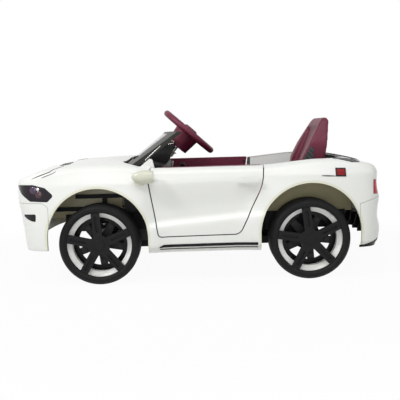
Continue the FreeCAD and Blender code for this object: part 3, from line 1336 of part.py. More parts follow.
def rear_axle():
    end = HUB_ENDS[1] + AXLE_END
    shaft = rod(V(REAR_AXLE_X, -end, WHEEL_RADIUS), V(REAR_AXLE_X, end, WHEEL_RADIUS), AXLE_RADIUS)
    return Part.makeCompound([shaft, axle_nut(REAR_AXLE_X, -1), axle_nut(REAR_AXLE_X, 1)])


def battery():
    base = RAIL_Z[1] + 0.2
    half = BATTERY.y / 2
    lid = base + BATTERY.z - POST_HEIGHT
    case = box((BATTERY_X, BATTERY_X + BATTERY.x), (-half, half), (base, lid))
    posts = [box((BATTERY_X + 8, BATTERY_X + 20), (y - 4, y + 4), (lid, lid + POST_HEIGHT))
             for y in (-half + 20, half - 20)]
    return joined([case] + posts)


def charging_socket():
    """Round socket standing on the seat floor beside the seat, open at the top."""
    foot = V(SOCKET_X, SOCKET_Y, SEAT_FLOOR_Z + TUB_WALL + FIT / 2)
    mouth = foot + V(0, 0, SOCKET_HEIGHT)
    flange = rod(foot, foot + V(0, 0, SOCKET_FLANGE), SOCKET_RADIUS + 4)
    return joined([flange, rod(foot, mouth, SOCKET_RADIUS)]).cut(rod(mouth - V(0, 0, SOCKET_DEPTH), mouth,
                                                                     SOCKET_BORE))


def make_all():
    parts = {}
    make_panels(parts)
    for name, make in (("door_skin", door_skin), ("door_trim", door_trim), ("door_handle", door_handle),
                       ("knuckle", knuckle), ("drive_gear", drive_gear), ("motor_pinion", motor_pinion)):
        parts[name + "_left"], parts[name + "_right"] = both_sides(make())
    for name, make in (("door_hinges", door_hinge), ("mirrors", mirror), ("gearboxes", gearbox),
                       ("motors", motor)):
        parts[name] = Part.makeCompound(both_sides(make()))
    parts["mirror_faces"] = Part.makeCompound(both_sides(mirror_window(0)))
    parts["windscreen"] = windscreen()
    parts["cabin_tub"] = cabin_tub()
    parts["dashboard"] = dashboard()
    parts["column_pod"] = column_pod(parts["dashboard"])
    parts["column_bushes"] = Part.makeCompound([column_bush(POD_BUSH), column_bush(FOOT_BUSH)])
    for make in (steering_wheel, horn_button, steering_shaft, tie_rod, shift_lever, power_button, pedal,
                 seat, seat_panels, chassis, chassis_bolts, front_beam, kingpins, rear_axle, battery,
                 charging_socket):
        parts[make.__name__] = make()
    for end, axle_x, angle in (("front", FRONT_AXLE_X, FRONT_SPOKE_ANGLE),
                               ("rear", REAR_AXLE_X, REAR_SPOKE_ANGLE)):
        for side in ("left", "right"):
            for make in (tyre, rim, wheel_cap):
                parts[f"{make.__name__}_{end}_{side}"] = placed_wheel(make(), axle_x, angle, side == "right")
    return parts


os.makedirs("parts", exist_ok=True)
for node, shape in make_all().items():
    shape.translated(V(CENTRE_SHIFT, 0, 0)).exportStep(f"parts/{node}.step")
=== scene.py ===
import math

import bmesh
import bpy
from mathutils import Matrix, Vector
from mathutils.bvhtree import BVHTree


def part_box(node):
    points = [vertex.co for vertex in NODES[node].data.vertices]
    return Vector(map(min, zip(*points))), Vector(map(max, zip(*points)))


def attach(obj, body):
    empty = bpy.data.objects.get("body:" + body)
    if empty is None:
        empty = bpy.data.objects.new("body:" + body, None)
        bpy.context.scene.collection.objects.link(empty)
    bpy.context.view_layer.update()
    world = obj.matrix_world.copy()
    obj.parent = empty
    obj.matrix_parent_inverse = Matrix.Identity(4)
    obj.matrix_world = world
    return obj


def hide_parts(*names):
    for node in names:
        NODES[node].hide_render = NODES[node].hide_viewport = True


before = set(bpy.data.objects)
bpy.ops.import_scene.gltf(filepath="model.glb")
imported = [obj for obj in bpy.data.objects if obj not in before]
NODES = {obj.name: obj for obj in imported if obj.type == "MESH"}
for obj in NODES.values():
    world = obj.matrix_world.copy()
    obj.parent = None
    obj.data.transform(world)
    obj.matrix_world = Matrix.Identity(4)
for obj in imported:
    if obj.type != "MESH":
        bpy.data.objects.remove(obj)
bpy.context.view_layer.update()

bl_info = {
    "name": "Ride-on car dresser",
    "version": (1, 0, 0),
    "blender": (4, 5, 0),
    "location": "View3D > Sidebar > Ride-on car",
    "description": "Finishes, trim and a studio for the packed ride-on car",
    "category": "Object",
}

SIDES = ("left", "right")
ENDS = ("front", "rear")
DOWN = (0, 0, -1)
ACROSS = Vector((0, 1, 0))
# Lines that lay pieces on a surface start this high, or this far to the side
ABOVE = 0.5
ASIDE = 0.6
# Chamfer of small moulded blocks, and the share of its width that a blunt strip keeps at its ends
EASED = 0.0008
BLUNT = 0.6


# Settings

def colour(name, description, default):
    return bpy.props.FloatVectorProperty(name=name, description=description, default=default, subtype="COLOR",
                                         size=3, min=0.0, max=1.0)


def length(name, description, default):
    return bpy.props.FloatProperty(name=name, description=description, default=default, unit="LENGTH",
                                   precision=4)


class CarFinishes(bpy.types.PropertyGroup):
    """Colours of the mouldings"""
    white: colour("Body white", "Moulded body panels", (0.83, 0.83, 0.815))
    # Painted shade: khaki standing for the white plastic in shade inside the wheel arches
    arch_shade: colour("Arch shading", "Painted shading inside the wheel arches", (0.46, 0.42, 0.27))
    maroon: colour("Maroon", "Seat, steering wheel and door trims", (0.118, 0.010, 0.031))
    black: colour("Black trim", "Wheel caps, grille, diffuser and dashboard", (0.0075, 0.0075, 0.0085))
    grey: colour("Grey trim", "Cabin tub and the panel on the rear deck", (0.045, 0.045, 0.048))
    rubber: colour("Tyre", "Tread and sidewall", (0.0115, 0.0115, 0.0122))
    # Painted shade: a cream standing for the white mirrors and arch lips as they look in shade
    shaded_cream: colour("Shaded white", "Mirror housings and the lips of the wheel arches", (0.76, 0.75, 0.63))
    ring: colour("Wheel ring", "Painted band round each rim", (0.90, 0.90, 0.89))
    smoke: colour("Smoked screen", "Tint of the windscreen", (0.020, 0.021, 0.017))
    red: colour("Tail lamp", "Tail lamp lens", (0.55, 0.006, 0.014))
    lamp: colour("Headlamp", "Depth colour of the headlamp", (0.010, 0.007, 0.012))


class CarSizes(bpy.types.PropertyGroup):
    """Sizes of the trim"""
    stripe: length("Stripe width", "Width of the long stripe on the bonnet's shoulder", 0.0030)
    ring_thick: length("Ring thickness", "Thickness of the white ring on each wheel", 0.0020)
    rib_thick: length("Sidewall rib", "Radius of the round ribs on the sidewalls", 0.0011)
    guard_thick: length("Guard thickness", "Thickness of the splash guards", 0.0030)
    flange_thick: length("Flange thickness", "Thickness of the rim's return beside the seat", 0.0025)
    # Painted highlight: the pale pink ring stands for a gloss highlight on the maroon door trim
    speaker_highlight_ring: length("Speaker highlight ring", "Radius of the pale ring round each speaker", 0.0355)
    seat_melt: length("Seat softness", "Grid of the melted seat: larger is rounder", 0.0040)


class CarStage(bpy.types.PropertyGroup):
    """Camera and light"""
    camera: bpy.props.FloatVectorProperty(name="Camera", description="Where the camera stands",
                                          default=(-0.0034, -1.8913, 0.4411), subtype="XYZ", unit="LENGTH")
    yaw: bpy.props.FloatProperty(name="Yaw", description="Turn of the view towards the tail",
                                 default=math.radians(0.18), subtype="ANGLE")
    pitch: bpy.props.FloatProperty(name="Pitch", description="Tilt of the view, upward positive",
                                   default=math.radians(-7.10), subtype="ANGLE")
    roll: bpy.props.FloatProperty(name="Roll", description="Turn about the view line",
                                  default=math.radians(-1.60), subtype="ANGLE")
    reach: bpy.props.FloatProperty(name="Focal length", description="Focal length for a 36 mm wide sensor",
                                   default=51.53, min=10.0)
    light: bpy.props.FloatProperty(name="Light", description="Brightness of the studio", default=1.0, min=0.0)


# Shader expressions

class Field:
    """A shader socket that can stand in an expression."""

    def __init__(self, look, socket):
        self.look = look
        self.socket = socket

    def maths(self, operation, first, second=0.0):
        return self.look.node("ShaderNodeMath", {"operation": operation}, {0: first, 1: second})

    def __add__(self, other):
        return self.maths("ADD", self, other)

    def __sub__(self, other):
        return self.maths("SUBTRACT", self, other)

    def __rsub__(self, other):
        return self.maths("SUBTRACT", other, self)

    def __mul__(self, other):
        return self.maths("MULTIPLY", self, other)

    def __truediv__(self, other):
        return self.maths("DIVIDE", self, other)

    def __pow__(self, other):
        return self.maths("POWER", self, other)

    def __lt__(self, other):
        return self.maths("LESS_THAN", self, other)

    def __gt__(self, other):
        return self.maths("GREATER_THAN", self, other)

    def __abs__(self):
        return self.maths("ABSOLUTE", self)

    __radd__ = __add__
    __rmul__ = __mul__

    def step(self, low, high):
        """0 below low, 1 above high, smooth between."""
        return self.look.node("ShaderNodeMapRange", {"interpolation_type": "SMOOTHSTEP"},
                              {0: self, 1: low, 2: high, 3: 0.0, 4: 1.0})


class Graph:
    """A node tree that makes and links its nodes."""

    def __init__(self, tree):
        self.tree = tree

    def node(self, kind, settings, sockets, output=0):
        made = self.tree.nodes.new(kind)
        for key, value in settings.items():
            setattr(made, key, value)
        for key, value in sockets.items():
            self.feed(made.inputs[key], value)
        return Field(self, made.outputs[output])

    def feed(self, socket, value):
        if isinstance(value, Field):
            self.tree.links.new(value.socket, socket)
        else:
            socket.default_value = value

    def backdrop_rays(self):
        """1 for rays that show the backdrop, straight, mirrored or through glass."""
        rays = [self.node("ShaderNodeLightPath", {}, {}, f"Is {kind} Ray")
                for kind in ("Camera", "Glossy", "Transmission")]
        return (rays[0] + rays[1] + rays[2]).step(0.0, 1.0)


class Look(Graph):
    """One procedural material with a principled shader."""

    def __init__(self, name):
        self.material = bpy.data.materials.new(name)
        self.material.use_nodes = True
        super().__init__(self.material.node_tree)
        self.shader = self.tree.nodes["Principled BSDF"]

    def set(self, **values):
        """Feed the shader's own sockets, named with underscores."""
        for key, value in values.items():
            if isinstance(value, tuple) and len(value) == 3:
                value = (*value, 1.0)
            self.feed(self.shader.inputs[key.replace("_", " ")], value)
        return self

    def place(self):
        return self.node("ShaderNodeTexCoord", {}, {}, "Object")

    def axes(self, output="Object"):
        spot = self.node("ShaderNodeTexCoord", {}, {}, output)
        return [self.node("ShaderNodeSeparateXYZ", {}, {0: spot}, k) for k in range(3)]

    def noise(self, scale, detail=2.0, rough=0.5):
        return self.node("ShaderNodeTexNoise", {}, {"Vector": self.place(), "Scale": scale, "Detail": detail,
                                                    "Roughness": rough})

    def grain(self, scale):
        return self.node("ShaderNodeTexVoronoi", {}, {"Vector": self.place(), "Scale": scale})

    def mix(self, factor, first, second):
        first, second = [(*c, 1.0) if isinstance(c, tuple) and len(c) == 3 else c for c in (first, second)]
        return self.node("ShaderNodeMix", {"data_type": "RGBA"}, {0: factor, 6: first, 7: second}, 2)

    def rounded(self, radius):
        return self.node("ShaderNodeBevel", {"samples": 4}, {"Radius": radius})

    def bump(self, height, strength, distance, normal=None):
        sockets = {"Strength": strength, "Distance": distance, "Height": height}
        if normal:
            sockets["Normal"] = normal
        return self.node("ShaderNodeBump", {}, sockets)


def scaled(tint, factor):
    return tuple(min(1.0, c * factor) for c in tint)


# Finishes

# Where the shell and the tub are painted with the shade seen inside the wheel arches, and the arch lips with
# a shaded cream
ARCH_CENTRE_Z = 0.1385
ARCH_EDGE = 0.143
ARCH_REACH = 0.235
ARCH_FACE = 0.236
ARCH_BACK = 0.262
LIP_FADE = (ARCH_EDGE + 0.0045, ARCH_EDGE + 0.0095)
LINER_FACES = (0.1322, 0.1368)
WELL_TOP = 0.292
WELL_SIDE = 0.1845
WELL_HALF = 0.165

DUST_HEIGHTS = (0.09, 0.17)
DUST_TINT = (0.62, 0.59, 0.50)


def arch_reach(look, x, z):
    """Distance from the nearer wheel arch's centre, in side view."""
    front, rear = [(x - wheel_centre(end).x) for end in ENDS]
    across = look.node("ShaderNodeMath", {"operation": "MINIMUM"}, {0: front * front, 1: rear * rear})
    up = z - ARCH_CENTRE_Z
    return (across + up * up) ** 0.5


def moulded_white(name, tint, arch_shade=None, shaded_lip=None):
    """Glossy white moulding: faint flow marks and orange peel, dust low down; painted khaki shade inside the
    arches and a painted shaded cream on their lips.
    """
    look = Look(name)
    flow = look.noise(9.0, 3.0)
    peel = look.noise(420.0, 2.0)
    x, y, z = look.axes()
    dust = (1 - z.step(*DUST_HEIGHTS)) * look.noise(60.0, 5.0).step(0.35, 0.8)
    base = look.mix(flow, scaled(tint, 0.985), scaled(tint, 1.015))
    base = look.mix(dust * 0.22, base, DUST_TINT)
    if arch_shade:
        ny = look.axes("Normal")[1]
        reach = arch_reach(look, x, z)
        near = 1 - reach.step(*LIP_FADE)
        # Painted shade: the cream on the arch lips stands for white plastic in shade
        base = look.mix(near * abs(y).step(ARCH_FACE, ARCH_FACE + 0.004), base, shaded_lip)
        # Painted shade: khaki inside the arches stands for the white plastic in shade
        inner = (abs(y) < ARCH_BACK) * (ny * y < -0.001) * (reach < ARCH_REACH) * (z < WELL_TOP)
        liner = (abs(y) < LINER_FACES[1]) * (abs(y) > LINER_FACES[0]) * (abs(ny) > 0.7)
        painted_shade = look.mix(look.noise(14.0, 4.0), scaled(arch_shade, 0.75), scaled(arch_shade, 1.2))
        base = look.mix((inner + liner).step(0.0, 1.0), base, painted_shade)
    look.set(Base_Color=base, Roughness=0.26 + 0.10 * flow + 0.3 * dust, Coat_Weight=0.2, Coat_Roughness=0.12,
             Specular_IOR_Level=0.4, Normal=look.bump(peel, 0.05, 0.0006, look.rounded(0.0014)))
    return look.material


def moulded_black(name, tint, rough=0.42, grain=700.0, depth=0.10):
    """Black moulding with a fine spark-eroded grain."""
    look = Look(name)
    wear = look.noise(35.0, 4.0)
    cells = look.grain(grain)
    base = look.mix(wear, scaled(tint, 0.8), scaled(tint, 1.5))
    look.set(Base_Color=base, Roughness=rough - 0.06 + 0.14 * wear, Specular_IOR_Level=0.16,
             Normal=look.bump(cells, depth, 0.0008, look.rounded(0.001)))
    return look.material


# Blacks that several steps share: the roughness, then the grain's scale and depth
BLACKS = {"trim_black": (0.34,), "fitting_black": (0.4,), "frame_black": (0.5, 250.0, 0.15)}
made_blacks = {}


def black_finish(name, context):
    """One of the shared blacks, made on its first use."""
    if name not in made_blacks:
        made_blacks[name] = moulded_black(name, tuple(context.scene.car_finishes.black), *BLACKS[name])
    return made_blacks[name]


def moulded_maroon(name, tint):
    """Satin maroon moulding with a leather-like grain."""
    look = Look(name)
    cloud = look.noise(16.0, 3.0)
    cells = look.grain(420.0)
    base = look.mix(cloud, scaled(tint, 0.82), scaled(tint, 1.25))
    base = look.mix(cells.step(0.35, 0.75) * 0.25, base, scaled(tint, 1.7))
    look.set(Base_Color=base, Roughness=0.40 + 0.12 * cloud, Specular_IOR_Level=0.35,
             Normal=look.bump(cells, 0.16, 0.0008, look.rounded(0.0016)))
    return look.material


def tyre_rubber(name, tint):
    """Black tread plastic: matt, dusty in the grooves."""
    look = Look(name)
    dust = look.noise(48.0, 6.0, 0.65)
    pores = look.noise(800.0, 2.0)
    base = look.mix(dust.step(0.45, 0.85) * 0.5, tint, scaled(tint, 2.6))
    look.set(Base_Color=base, Roughness=0.55 + 0.2 * dust, Specular_IOR_Level=0.16,
             Normal=look.bump(pores, 0.14, 0.0008, look.rounded(0.0012)))
    return look.material


RIM_FACE = (0.2300, 0.2312)


def painted_rim(name, ring, black, centre, outer, inner):
    """Black rim whose sloping band is painted white, ring by ring about the axle."""
    look = Look(name)
    x, y, z = look.axes()
    across, up = x - centre.x, z - centre.z
    radius = (across * across + up * up) ** 0.5
    within = radius.step(inner, inner + 0.0012) * (1 - radius.step(outer, outer + 0.0008))
    band = within * abs(y).step(*RIM_FACE)
    mottle = look.noise(70.0, 4.0)
    base = look.mix(band, look.mix(mottle, scaled(black, 0.8), scaled(black, 1.6)),
                    look.mix(mottle, scaled(ring, 0.93), ring))
    look.set(Base_Color=base, Roughness=0.45 - 0.15 * band + 0.08 * mottle, Specular_IOR_Level=0.3,
             Normal=look.bump(look.noise(500.0), 0.06, 0.0006, look.rounded(0.001)))
    return look.material


PANE_HALF = 0.141
PANE_FOOT = 0.016
PANE_BROW = 0.005


def smoked_plastic(name, tint):
    """Smoked screen: dark glossy rails and a clearer pane, with soft dust and fine scratches."""
    look = Look(name)
    _, y, z = look.axes()
    dust = look.noise(24.0, 5.0, 0.6)
    lines = look.node("ShaderNodeMapping", {}, {"Vector": look.place(), "Scale": (40.0, 900.0, 40.0)})
    scratch = look.node("ShaderNodeTexNoise", {}, {"Vector": lines, "Scale": 2.0})
    low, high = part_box("windscreen")
    foot = 1 - z.step(low.z + PANE_FOOT - 0.002, low.z + PANE_FOOT)
    brow = z.step(high.z - PANE_BROW - 0.001, high.z - PANE_BROW)
    rail = (abs(y).step(PANE_HALF - 0.002, PANE_HALF) + foot + brow).step(0.0, 1.0)
    base = look.mix(dust.step(0.4, 0.9), tint, scaled(tint, 2.2))
    look.set(Base_Color=base, Roughness=0.30 + 0.16 * dust, Alpha=0.11 + 0.04 * dust + 0.85 * rail,
             Specular_IOR_Level=0.2, Normal=look.bump(scratch, 0.05, 0.0006, look.rounded(0.002)))
    return look.material


def lamp_lens(name, tint, glint, spots):
    """Dark headlamp under a clear gloss; the rings in the glint colour round each spot are painted
    reflections.
    """
    look = Look(name)
    x, _, z = look.axes()
    base = look.mix(look.noise(120.0, 2.0), scaled(tint, 0.7), scaled(tint, 1.4))
    # Painted reflections: rings in the glint colour round each spot
    for spot_x, spot_z, size in spots:
        far = (((x - spot_x) * (x - spot_x) + (z - spot_z) * (z - spot_z)) ** 0.5) / size
        rings = look.node("ShaderNodeMath", {"operation": "SINE"}, {0: far * 22.0}) * 0.5 + 0.5
        base = look.mix((1 - far.step(0.2, 1.0)) * (0.35 + 0.5 * rings), base, glint)
    ribs = look.node("ShaderNodeTexWave", {"bands_direction": "X"}, {"Vector": look.place(), "Scale": 60.0})
    look.set(Base_Color=base, Roughness=0.14 + 0.08 * look.noise(30.0), Coat_Weight=0.25, Coat_Roughness=0.03,
             Specular_IOR_Level=0.2, Normal=look.bump(ribs, 0.06, 0.001, look.rounded(0.001)))
    return look.material


def red_lens(name, tint):
    """Tail lamp: red with vertical prisms under a clear gloss."""
    look = Look(name)
    prisms = look.node("ShaderNodeTexWave", {"bands_direction": "Y"}, {"Vector": look.place(), "Scale": 70.0})
    base = look.mix(prisms, scaled(tint, 0.6), tint)
    look.set(Base_Color=base, Roughness=0.18 + 0.06 * prisms, Coat_Weight=0.2, Coat_Roughness=0.03,
             Specular_IOR_Level=0.2, Normal=look.bump(prisms, 0.2, 0.001, look.rounded(0.001)))
    return look.material


def plated_steel(name, tint, rough=0.32):
    """Zinc plated steel with fine turning marks."""
    look = Look(name)
    lines = look.node("ShaderNodeMapping", {}, {"Vector": look.place(), "Scale": (30.0, 500.0, 30.0)})
    marks = look.node("ShaderNodeTexNoise", {}, {"Vector": lines, "Scale": 3.0})
    stain = look.noise(30.0, 5.0)
    look.set(Base_Color=look.mix(stain, scaled(tint, 0.8), scaled(tint, 1.1)), Metallic=1.0,
             Roughness=rough + 0.14 * marks, Normal=look.bump(marks, 0.08, 0.0005, look.rounded(0.0008)))
    return look.material


def ribbed_grey(name, tint):
    """Dark grey moulding with close diagonal ribs, as on the seat panels and the deck panel."""
    look = Look(name)
    ribs = look.node("ShaderNodeTexWave", {"bands_direction": "DIAGONAL", "wave_profile": "TRI"},
                     {"Vector": look.place(), "Scale": 40.0, "Distortion": 0.4})
    cloud = look.noise(50.0, 4.0)
    base = look.mix(ribs, scaled(tint, 0.6), look.mix(cloud, tint, scaled(tint, 2.4)))
    look.set(Base_Color=base, Roughness=0.45 + 0.15 * cloud, Specular_IOR_Level=0.3,
             Normal=look.bump(ribs, 0.35, 0.0015, look.rounded(0.001)))
    return look.material


def tub_plastic(name, tint, arch_shade):
    """Cabin tub: grey grained inside, painted khaki shade where it faces the rear wheels."""
    look = Look(name)
    x, y, z = look.axes()
    nx, ny, nz = look.axes("Normal")
    axle = wheel_centre("rear")
    # Painted shade: khaki where the tub faces the rear wheels stands for plastic in shade
    outward = (ny * y > 0.0001) * (abs(y) > WELL_SIDE - 0.004)
    under = (abs(nz) + abs(nx) > 0.3) * (nz * (z - axle.z) + nx * (x - axle.x) < 0.0) * (abs(y) > WELL_SIDE)
    well = (outward + under).step(0.0, 1.0) * (abs(x - axle.x) < WELL_HALF) * (z < WELL_TOP)
    cells = look.grain(300.0)
    cloud = look.noise(12.0, 4.0)
    base = look.mix(well, look.mix(cloud, scaled(tint, 0.8), scaled(tint, 1.5)),
                    look.mix(cloud, scaled(arch_shade, 0.7), scaled(arch_shade, 1.2)))
    look.set(Base_Color=base, Roughness=0.55 + 0.12 * cloud, Specular_IOR_Level=0.3,
             Normal=look.bump(cells, 0.12, 0.001, look.rounded(0.001)))
    return look.material


def glint_glass(name, tint, glint):
    """A small glossy dome in a dark tint, flecked with the glint colour as painted reflection."""
    look = Look(name)
    sparkle = look.grain(260.0)
    # Painted reflection: flecks of the glint colour
    base = look.mix(sparkle.step(0.1, 0.7), tint, glint)
    look.set(Base_Color=base, Roughness=0.06 + 0.08 * sparkle, Metallic=0.35, Coat_Weight=0.8,
             Coat_Roughness=0.02)
    return look.material


def dial_face(name, centres, radius):
    """Instrument dials: pale ticks round a black face."""
    look = Look(name)
    _, y, z = look.axes()
    base = look.mix(look.noise(300.0, 3.0), (0.010, 0.010, 0.011), (0.022, 0.022, 0.024))
    for centre in centres:
        side, up = y - centre.y, (z - centre.z) * 1.3
        far = (side * side + up * up) ** 0.5
        turn = look.node("ShaderNodeMath", {"operation": "ARCTAN2"}, {0: up, 1: side})
        beat = look.node("ShaderNodeMath", {"operation": "SINE"}, {0: turn * 24.0})
        band = far.step(radius * 0.62, radius * 0.66) * (1 - far.step(radius * 0.86, radius * 0.9))
        ticks = beat.step(0.72, 0.86) * band
        base = look.mix(ticks, base, (0.72, 0.72, 0.70))
    look.set(Base_Color=base, Roughness=0.30 + 0.1 * look.noise(90.0), Coat_Weight=0.6, Coat_Roughness=0.05)
    return look.material


def mirror_silver(name):
    """Silvered plastic with a little haze."""
    look = Look(name)
    haze = look.noise(60.0, 4.0)
    look.set(Base_Color=look.mix(haze, (0.78, 0.80, 0.81), (0.86, 0.87, 0.88)), Metallic=1.0,
             Roughness=0.04 + 0.05 * haze)
    return look.material


# Making pieces

def dress(material, *nodes):
    """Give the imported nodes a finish."""
    for node in nodes:
        slots = NODES[node].data.materials
        slots.clear()
        slots.append(material)


def piece(name, mesh, material, body):
    """A finished piece that rides on a body."""
    made = bpy.data.objects.new(name, mesh)
    bpy.context.scene.collection.objects.link(made)
    mesh.materials.clear()
    mesh.materials.append(material)
    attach(made, body)
    return made


class Surface:
    """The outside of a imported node, to lay pieces on."""

    def __init__(self, node):
        form = bmesh.new()
        form.from_mesh(NODES[node].data)
        self.node = node
        self.tree = BVHTree.FromBMesh(form)
        form.free()

    def seen(self, start, heading):
        """Where a line from start first meets the surface, and the normal that faces the line."""
        heading = Vector(heading)
        spot, normal, _, _ = self.tree.ray_cast(Vector(start), heading)
        if spot is None:
            raise RuntimeError(f"nothing of {self.node} lies ahead of {tuple(start)}")
        return spot, -normal if normal.dot(heading) > 0 else normal

    def laid(self, points, count, heading):
        """The places that evenly spaced points between the given ones see along one heading."""
        return [self.seen(start, heading) for start in path(points, count)]


class Mould:
    """Closed forms that are gathered into one mesh."""
    SOFT_ANGLE = math.radians(40)

    def __init__(self):
        self.form = bmesh.new()

    def skin(self, rows, ring=False):
        """Walls between rows of points, with a cap at each end unless the rows close into a ring."""
        loops = [[self.form.verts.new(point) for point in row] for row in rows]
        pairs = list(zip(loops, loops[1:]))
        if ring:
            pairs.append((loops[-1], loops[0]))
        else:
            self.form.faces.new(loops[0])
            self.form.faces.new(loops[-1])
        for near, far in pairs:
            for k in range(len(near)):
                self.form.faces.new((near[k - 1], near[k], far[k], far[k - 1]))

    def turned(self, profile, centre, axis, steps=36):
        """Turn (radius, height) pairs about an axis, with flat ends."""
        aim = Vector(axis).to_track_quat("Z", "Y").to_matrix()
        turns = [math.tau * k / steps for k in range(steps)]
        self.skin([[centre + aim @ Vector((r * math.cos(t), r * math.sin(t), h)) for t in turns]
                   for r, h in profile])

    def hoop(self, radius, centre, axis, thick, steps=72, sides=8):
        """A round ring of round wire."""
        aim = Vector(axis).to_track_quat("Z", "Y").to_matrix()
        rows = []
        for k in range(steps):
            turn = math.tau * k / steps
            row = []
            for j in range(sides):
                roll = math.tau * j / sides
                r = radius + thick * math.cos(roll)
                spot = Vector((r * math.cos(turn), r * math.sin(turn), thick * math.sin(roll)))
                row.append(centre + aim @ spot)
            rows.append(row)
        self.skin(rows, ring=True)

    def strip(self, places, widths, rise, sunk=0.0015):
        """A strip with eased edges over (spot, normal) places."""
        rows = []
        last = len(places) - 1
        for k, (spot, normal) in enumerate(places):
            along = places[min(k + 1, last)][0] - places[max(k - 1, 0)][0]
            across = normal.cross(along).normalized() * widths[k] / 2
            rows.append([spot + across * u + normal * h for u, h in (
                (-1, -sunk), (-1, rise * 0.45), (-0.7, rise), (0.7, rise), (1, rise * 0.45), (1, -sunk))])
        self.skin(rows)

    def block(self, centre, axes, size, chamfer):
        """A chamfered block, with its three axes and sizes given."""
        x, y, z = [Vector(axis).normalized() * extent / 2 for axis, extent in zip(axes, size)]
        corners = ((-1, -1), (1, -1), (1, 1), (-1, 1))
        rows = []
        for lift, inset in ((-1, 0.0), (1 - 2 * chamfer / size[2], 0.0), (1, chamfer)):
            u, v = 1 - 2 * inset / size[0], 1 - 2 * inset / size[1]
            rows.append([centre + x * a * u + y * b * v + z * lift for a, b in corners])
        self.skin(rows)

    def mesh(self, name):
        """The gathered forms as one mesh, sharp where faces meet at more than the soft angle."""
        made = bpy.data.meshes.new(name)
        bmesh.ops.recalc_face_normals(self.form, faces=self.form.faces)
        for face in self.form.faces:
            face.smooth = True
        for edge in self.form.edges:
            edge.smooth = edge.is_manifold and edge.calc_face_angle() < self.SOFT_ANGLE
        self.form.to_mesh(made)
        self.form.free()
        return made


def path(points, count):
    """Evenly spaced points along straight runs between points."""
    points = [Vector(p) for p in points]
    runs = [(b - a).length for a, b in zip(points, points[1:])]
    spots = []
    for k in range(count):
        goal = sum(runs) * k / (count - 1)
        i = 0
        while i < len(runs) - 1 and goal > runs[i]:
            goal -= runs[i]
            i += 1
        spots.append(points[i].lerp(points[i + 1], goal / runs[i]))
    return spots


def tapered(count, width, tip=0.25):
    """Widths that draw in towards both ends."""
    along = [2 * k / (count - 1) - 1 for k in range(count)]
    return [width * (tip + (1 - tip) * (1 - u * u) ** 0.5) for u in along]


def soft_edged(node, name, voxel, rounds):
    """A copy of a node's mesh with its edges melted round, as a moulding has."""
    source = NODES[node]
    copy = bpy.data.objects.new(name + "_stock", source.data.copy())
    bpy.context.scene.collection.objects.link(copy)
    remesh = copy.modifiers.new("skin", "REMESH")
    remesh.mode = "VOXEL"
    remesh.voxel_size = voxel
    smooth = copy.modifiers.new("melt", "SMOOTH")
    smooth.factor = 0.5
    smooth.iterations = rounds
    bpy.context.view_layer.update()
    mesh = bpy.data.meshes.new_from_object(copy.evaluated_get(bpy.context.evaluated_depsgraph_get()))
    mesh.name = name
    mesh.shade_smooth()
    bpy.data.objects.remove(copy)
    return mesh


def wheel_centre(end, side="left"):
    """The middle of a tyre's box."""
    low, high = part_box(f"tyre_{end}_{side}")
    return (low + high) / 2


# Steps

class CAR_OT_body(bpy.types.Operator):
    """Dress the white panels, the doors and the black trim on them"""
    bl_idname = "car.body"
    bl_label = "Body"

    def execute(self, context):
        tint = context.scene.car_finishes
        white = moulded_white("moulded_white", tuple(tint.white))
        # The shell gets painted shade inside the arches and a painted shaded cream on their lips
        shell = moulded_white("moulded_white_shell", tuple(tint.white), tuple(tint.arch_shade), tuple(tint.shaded_cream))
        dress(shell, "body_shell", "front_bumper", "rear_bumper")
        dress(white, *[f"door_{part}_{side}" for part in ("skin", "handle") for side in SIDES])
        # Painted shade: the mirror housings get a darkened cream for white plastic in shade
        dress(moulded_white("mirror_painted_shade", scaled(tuple(tint.shaded_cream), 0.86)), "mirrors")
        black = moulded_black("satin_black", tuple(tint.black), 0.36)
        dress(black, "rear_diffuser", "grille", "sill_strips")
        dress(ribbed_grey("ribbed_grey", tuple(tint.grey)), "seat_panels")
        dress(mirror_silver("mirror_silver"), "mirror_faces")
        return {"FINISHED"}


class CAR_OT_stripes(bpy.types.Operator):
    """Lay a stripe on each shoulder of the bonnet, and a thinner one beside its middle"""
    bl_idname = "car.stripes"
    bl_label = "Bonnet stripes"

    GLANCE_DROP = -0.15
    ROUTE = ((-0.4765, 0.3602), (-0.4238, 0.3802), (-0.3965, 0.4033))
    POINTS = 28
    RISE = 0.0008
    THIN_SPAN = slice(6, 20)
    THIN_OFFSET = (0.012, -0.004)
    THIN_SHARE = 0.7

    def execute(self, context):
        width = context.scene.car_sizes.stripe
        shell = Surface("body_shell")
        mould = Mould()
        dx, dz = self.THIN_OFFSET
        for side in (1, -1):
            heading = (0, side, self.GLANCE_DROP)
            starts = path([(x, -ASIDE * side, z) for x, z in self.ROUTE], self.POINTS)
            beside = [(x + dx, y, z + dz) for x, y, z in starts[self.THIN_SPAN]]
            for run, wide in ((starts, width), (beside, self.THIN_SHARE * width)):
                places = [shell.seen(start, heading) for start in run]
                mould.strip(places, tapered(len(run), wide), self.RISE)
        black = black_finish("trim_black", context)
        piece("bonnet_stripes", mould.mesh("bonnet_stripes"), black, "car")
        return {"FINISHED"}


class CAR_OT_bonnet_vents(bpy.types.Operator):
    """Lay the slats of the two vents on the bonnet"""
    bl_idname = "car.bonnet_vents"
    bl_label = "Bonnet vents"

    FIRST_X = -0.414
    LAST_X = -0.392
    RUN_Y = (0.098, 0.165)
    SLATS = 4
    POINTS = 9
    WIDTH = 0.0056
    RISE = 0.0014

    def execute(self, context):
        shell = Surface("body_shell")
        mould = Mould()
        for side in (1, -1):
            for k in range(self.SLATS):
                x = self.FIRST_X + (self.LAST_X - self.FIRST_X) * k / (self.SLATS - 1)
                places = shell.laid([(x, side * y, ABOVE) for y in self.RUN_Y], self.POINTS, DOWN)
                mould.strip(places, tapered(self.POINTS, self.WIDTH, BLUNT), self.RISE)
        black = black_finish("trim_black", context)
        piece("bonnet_vents", mould.mesh("bonnet_vents"), black, "car")
        return {"FINISHED"}


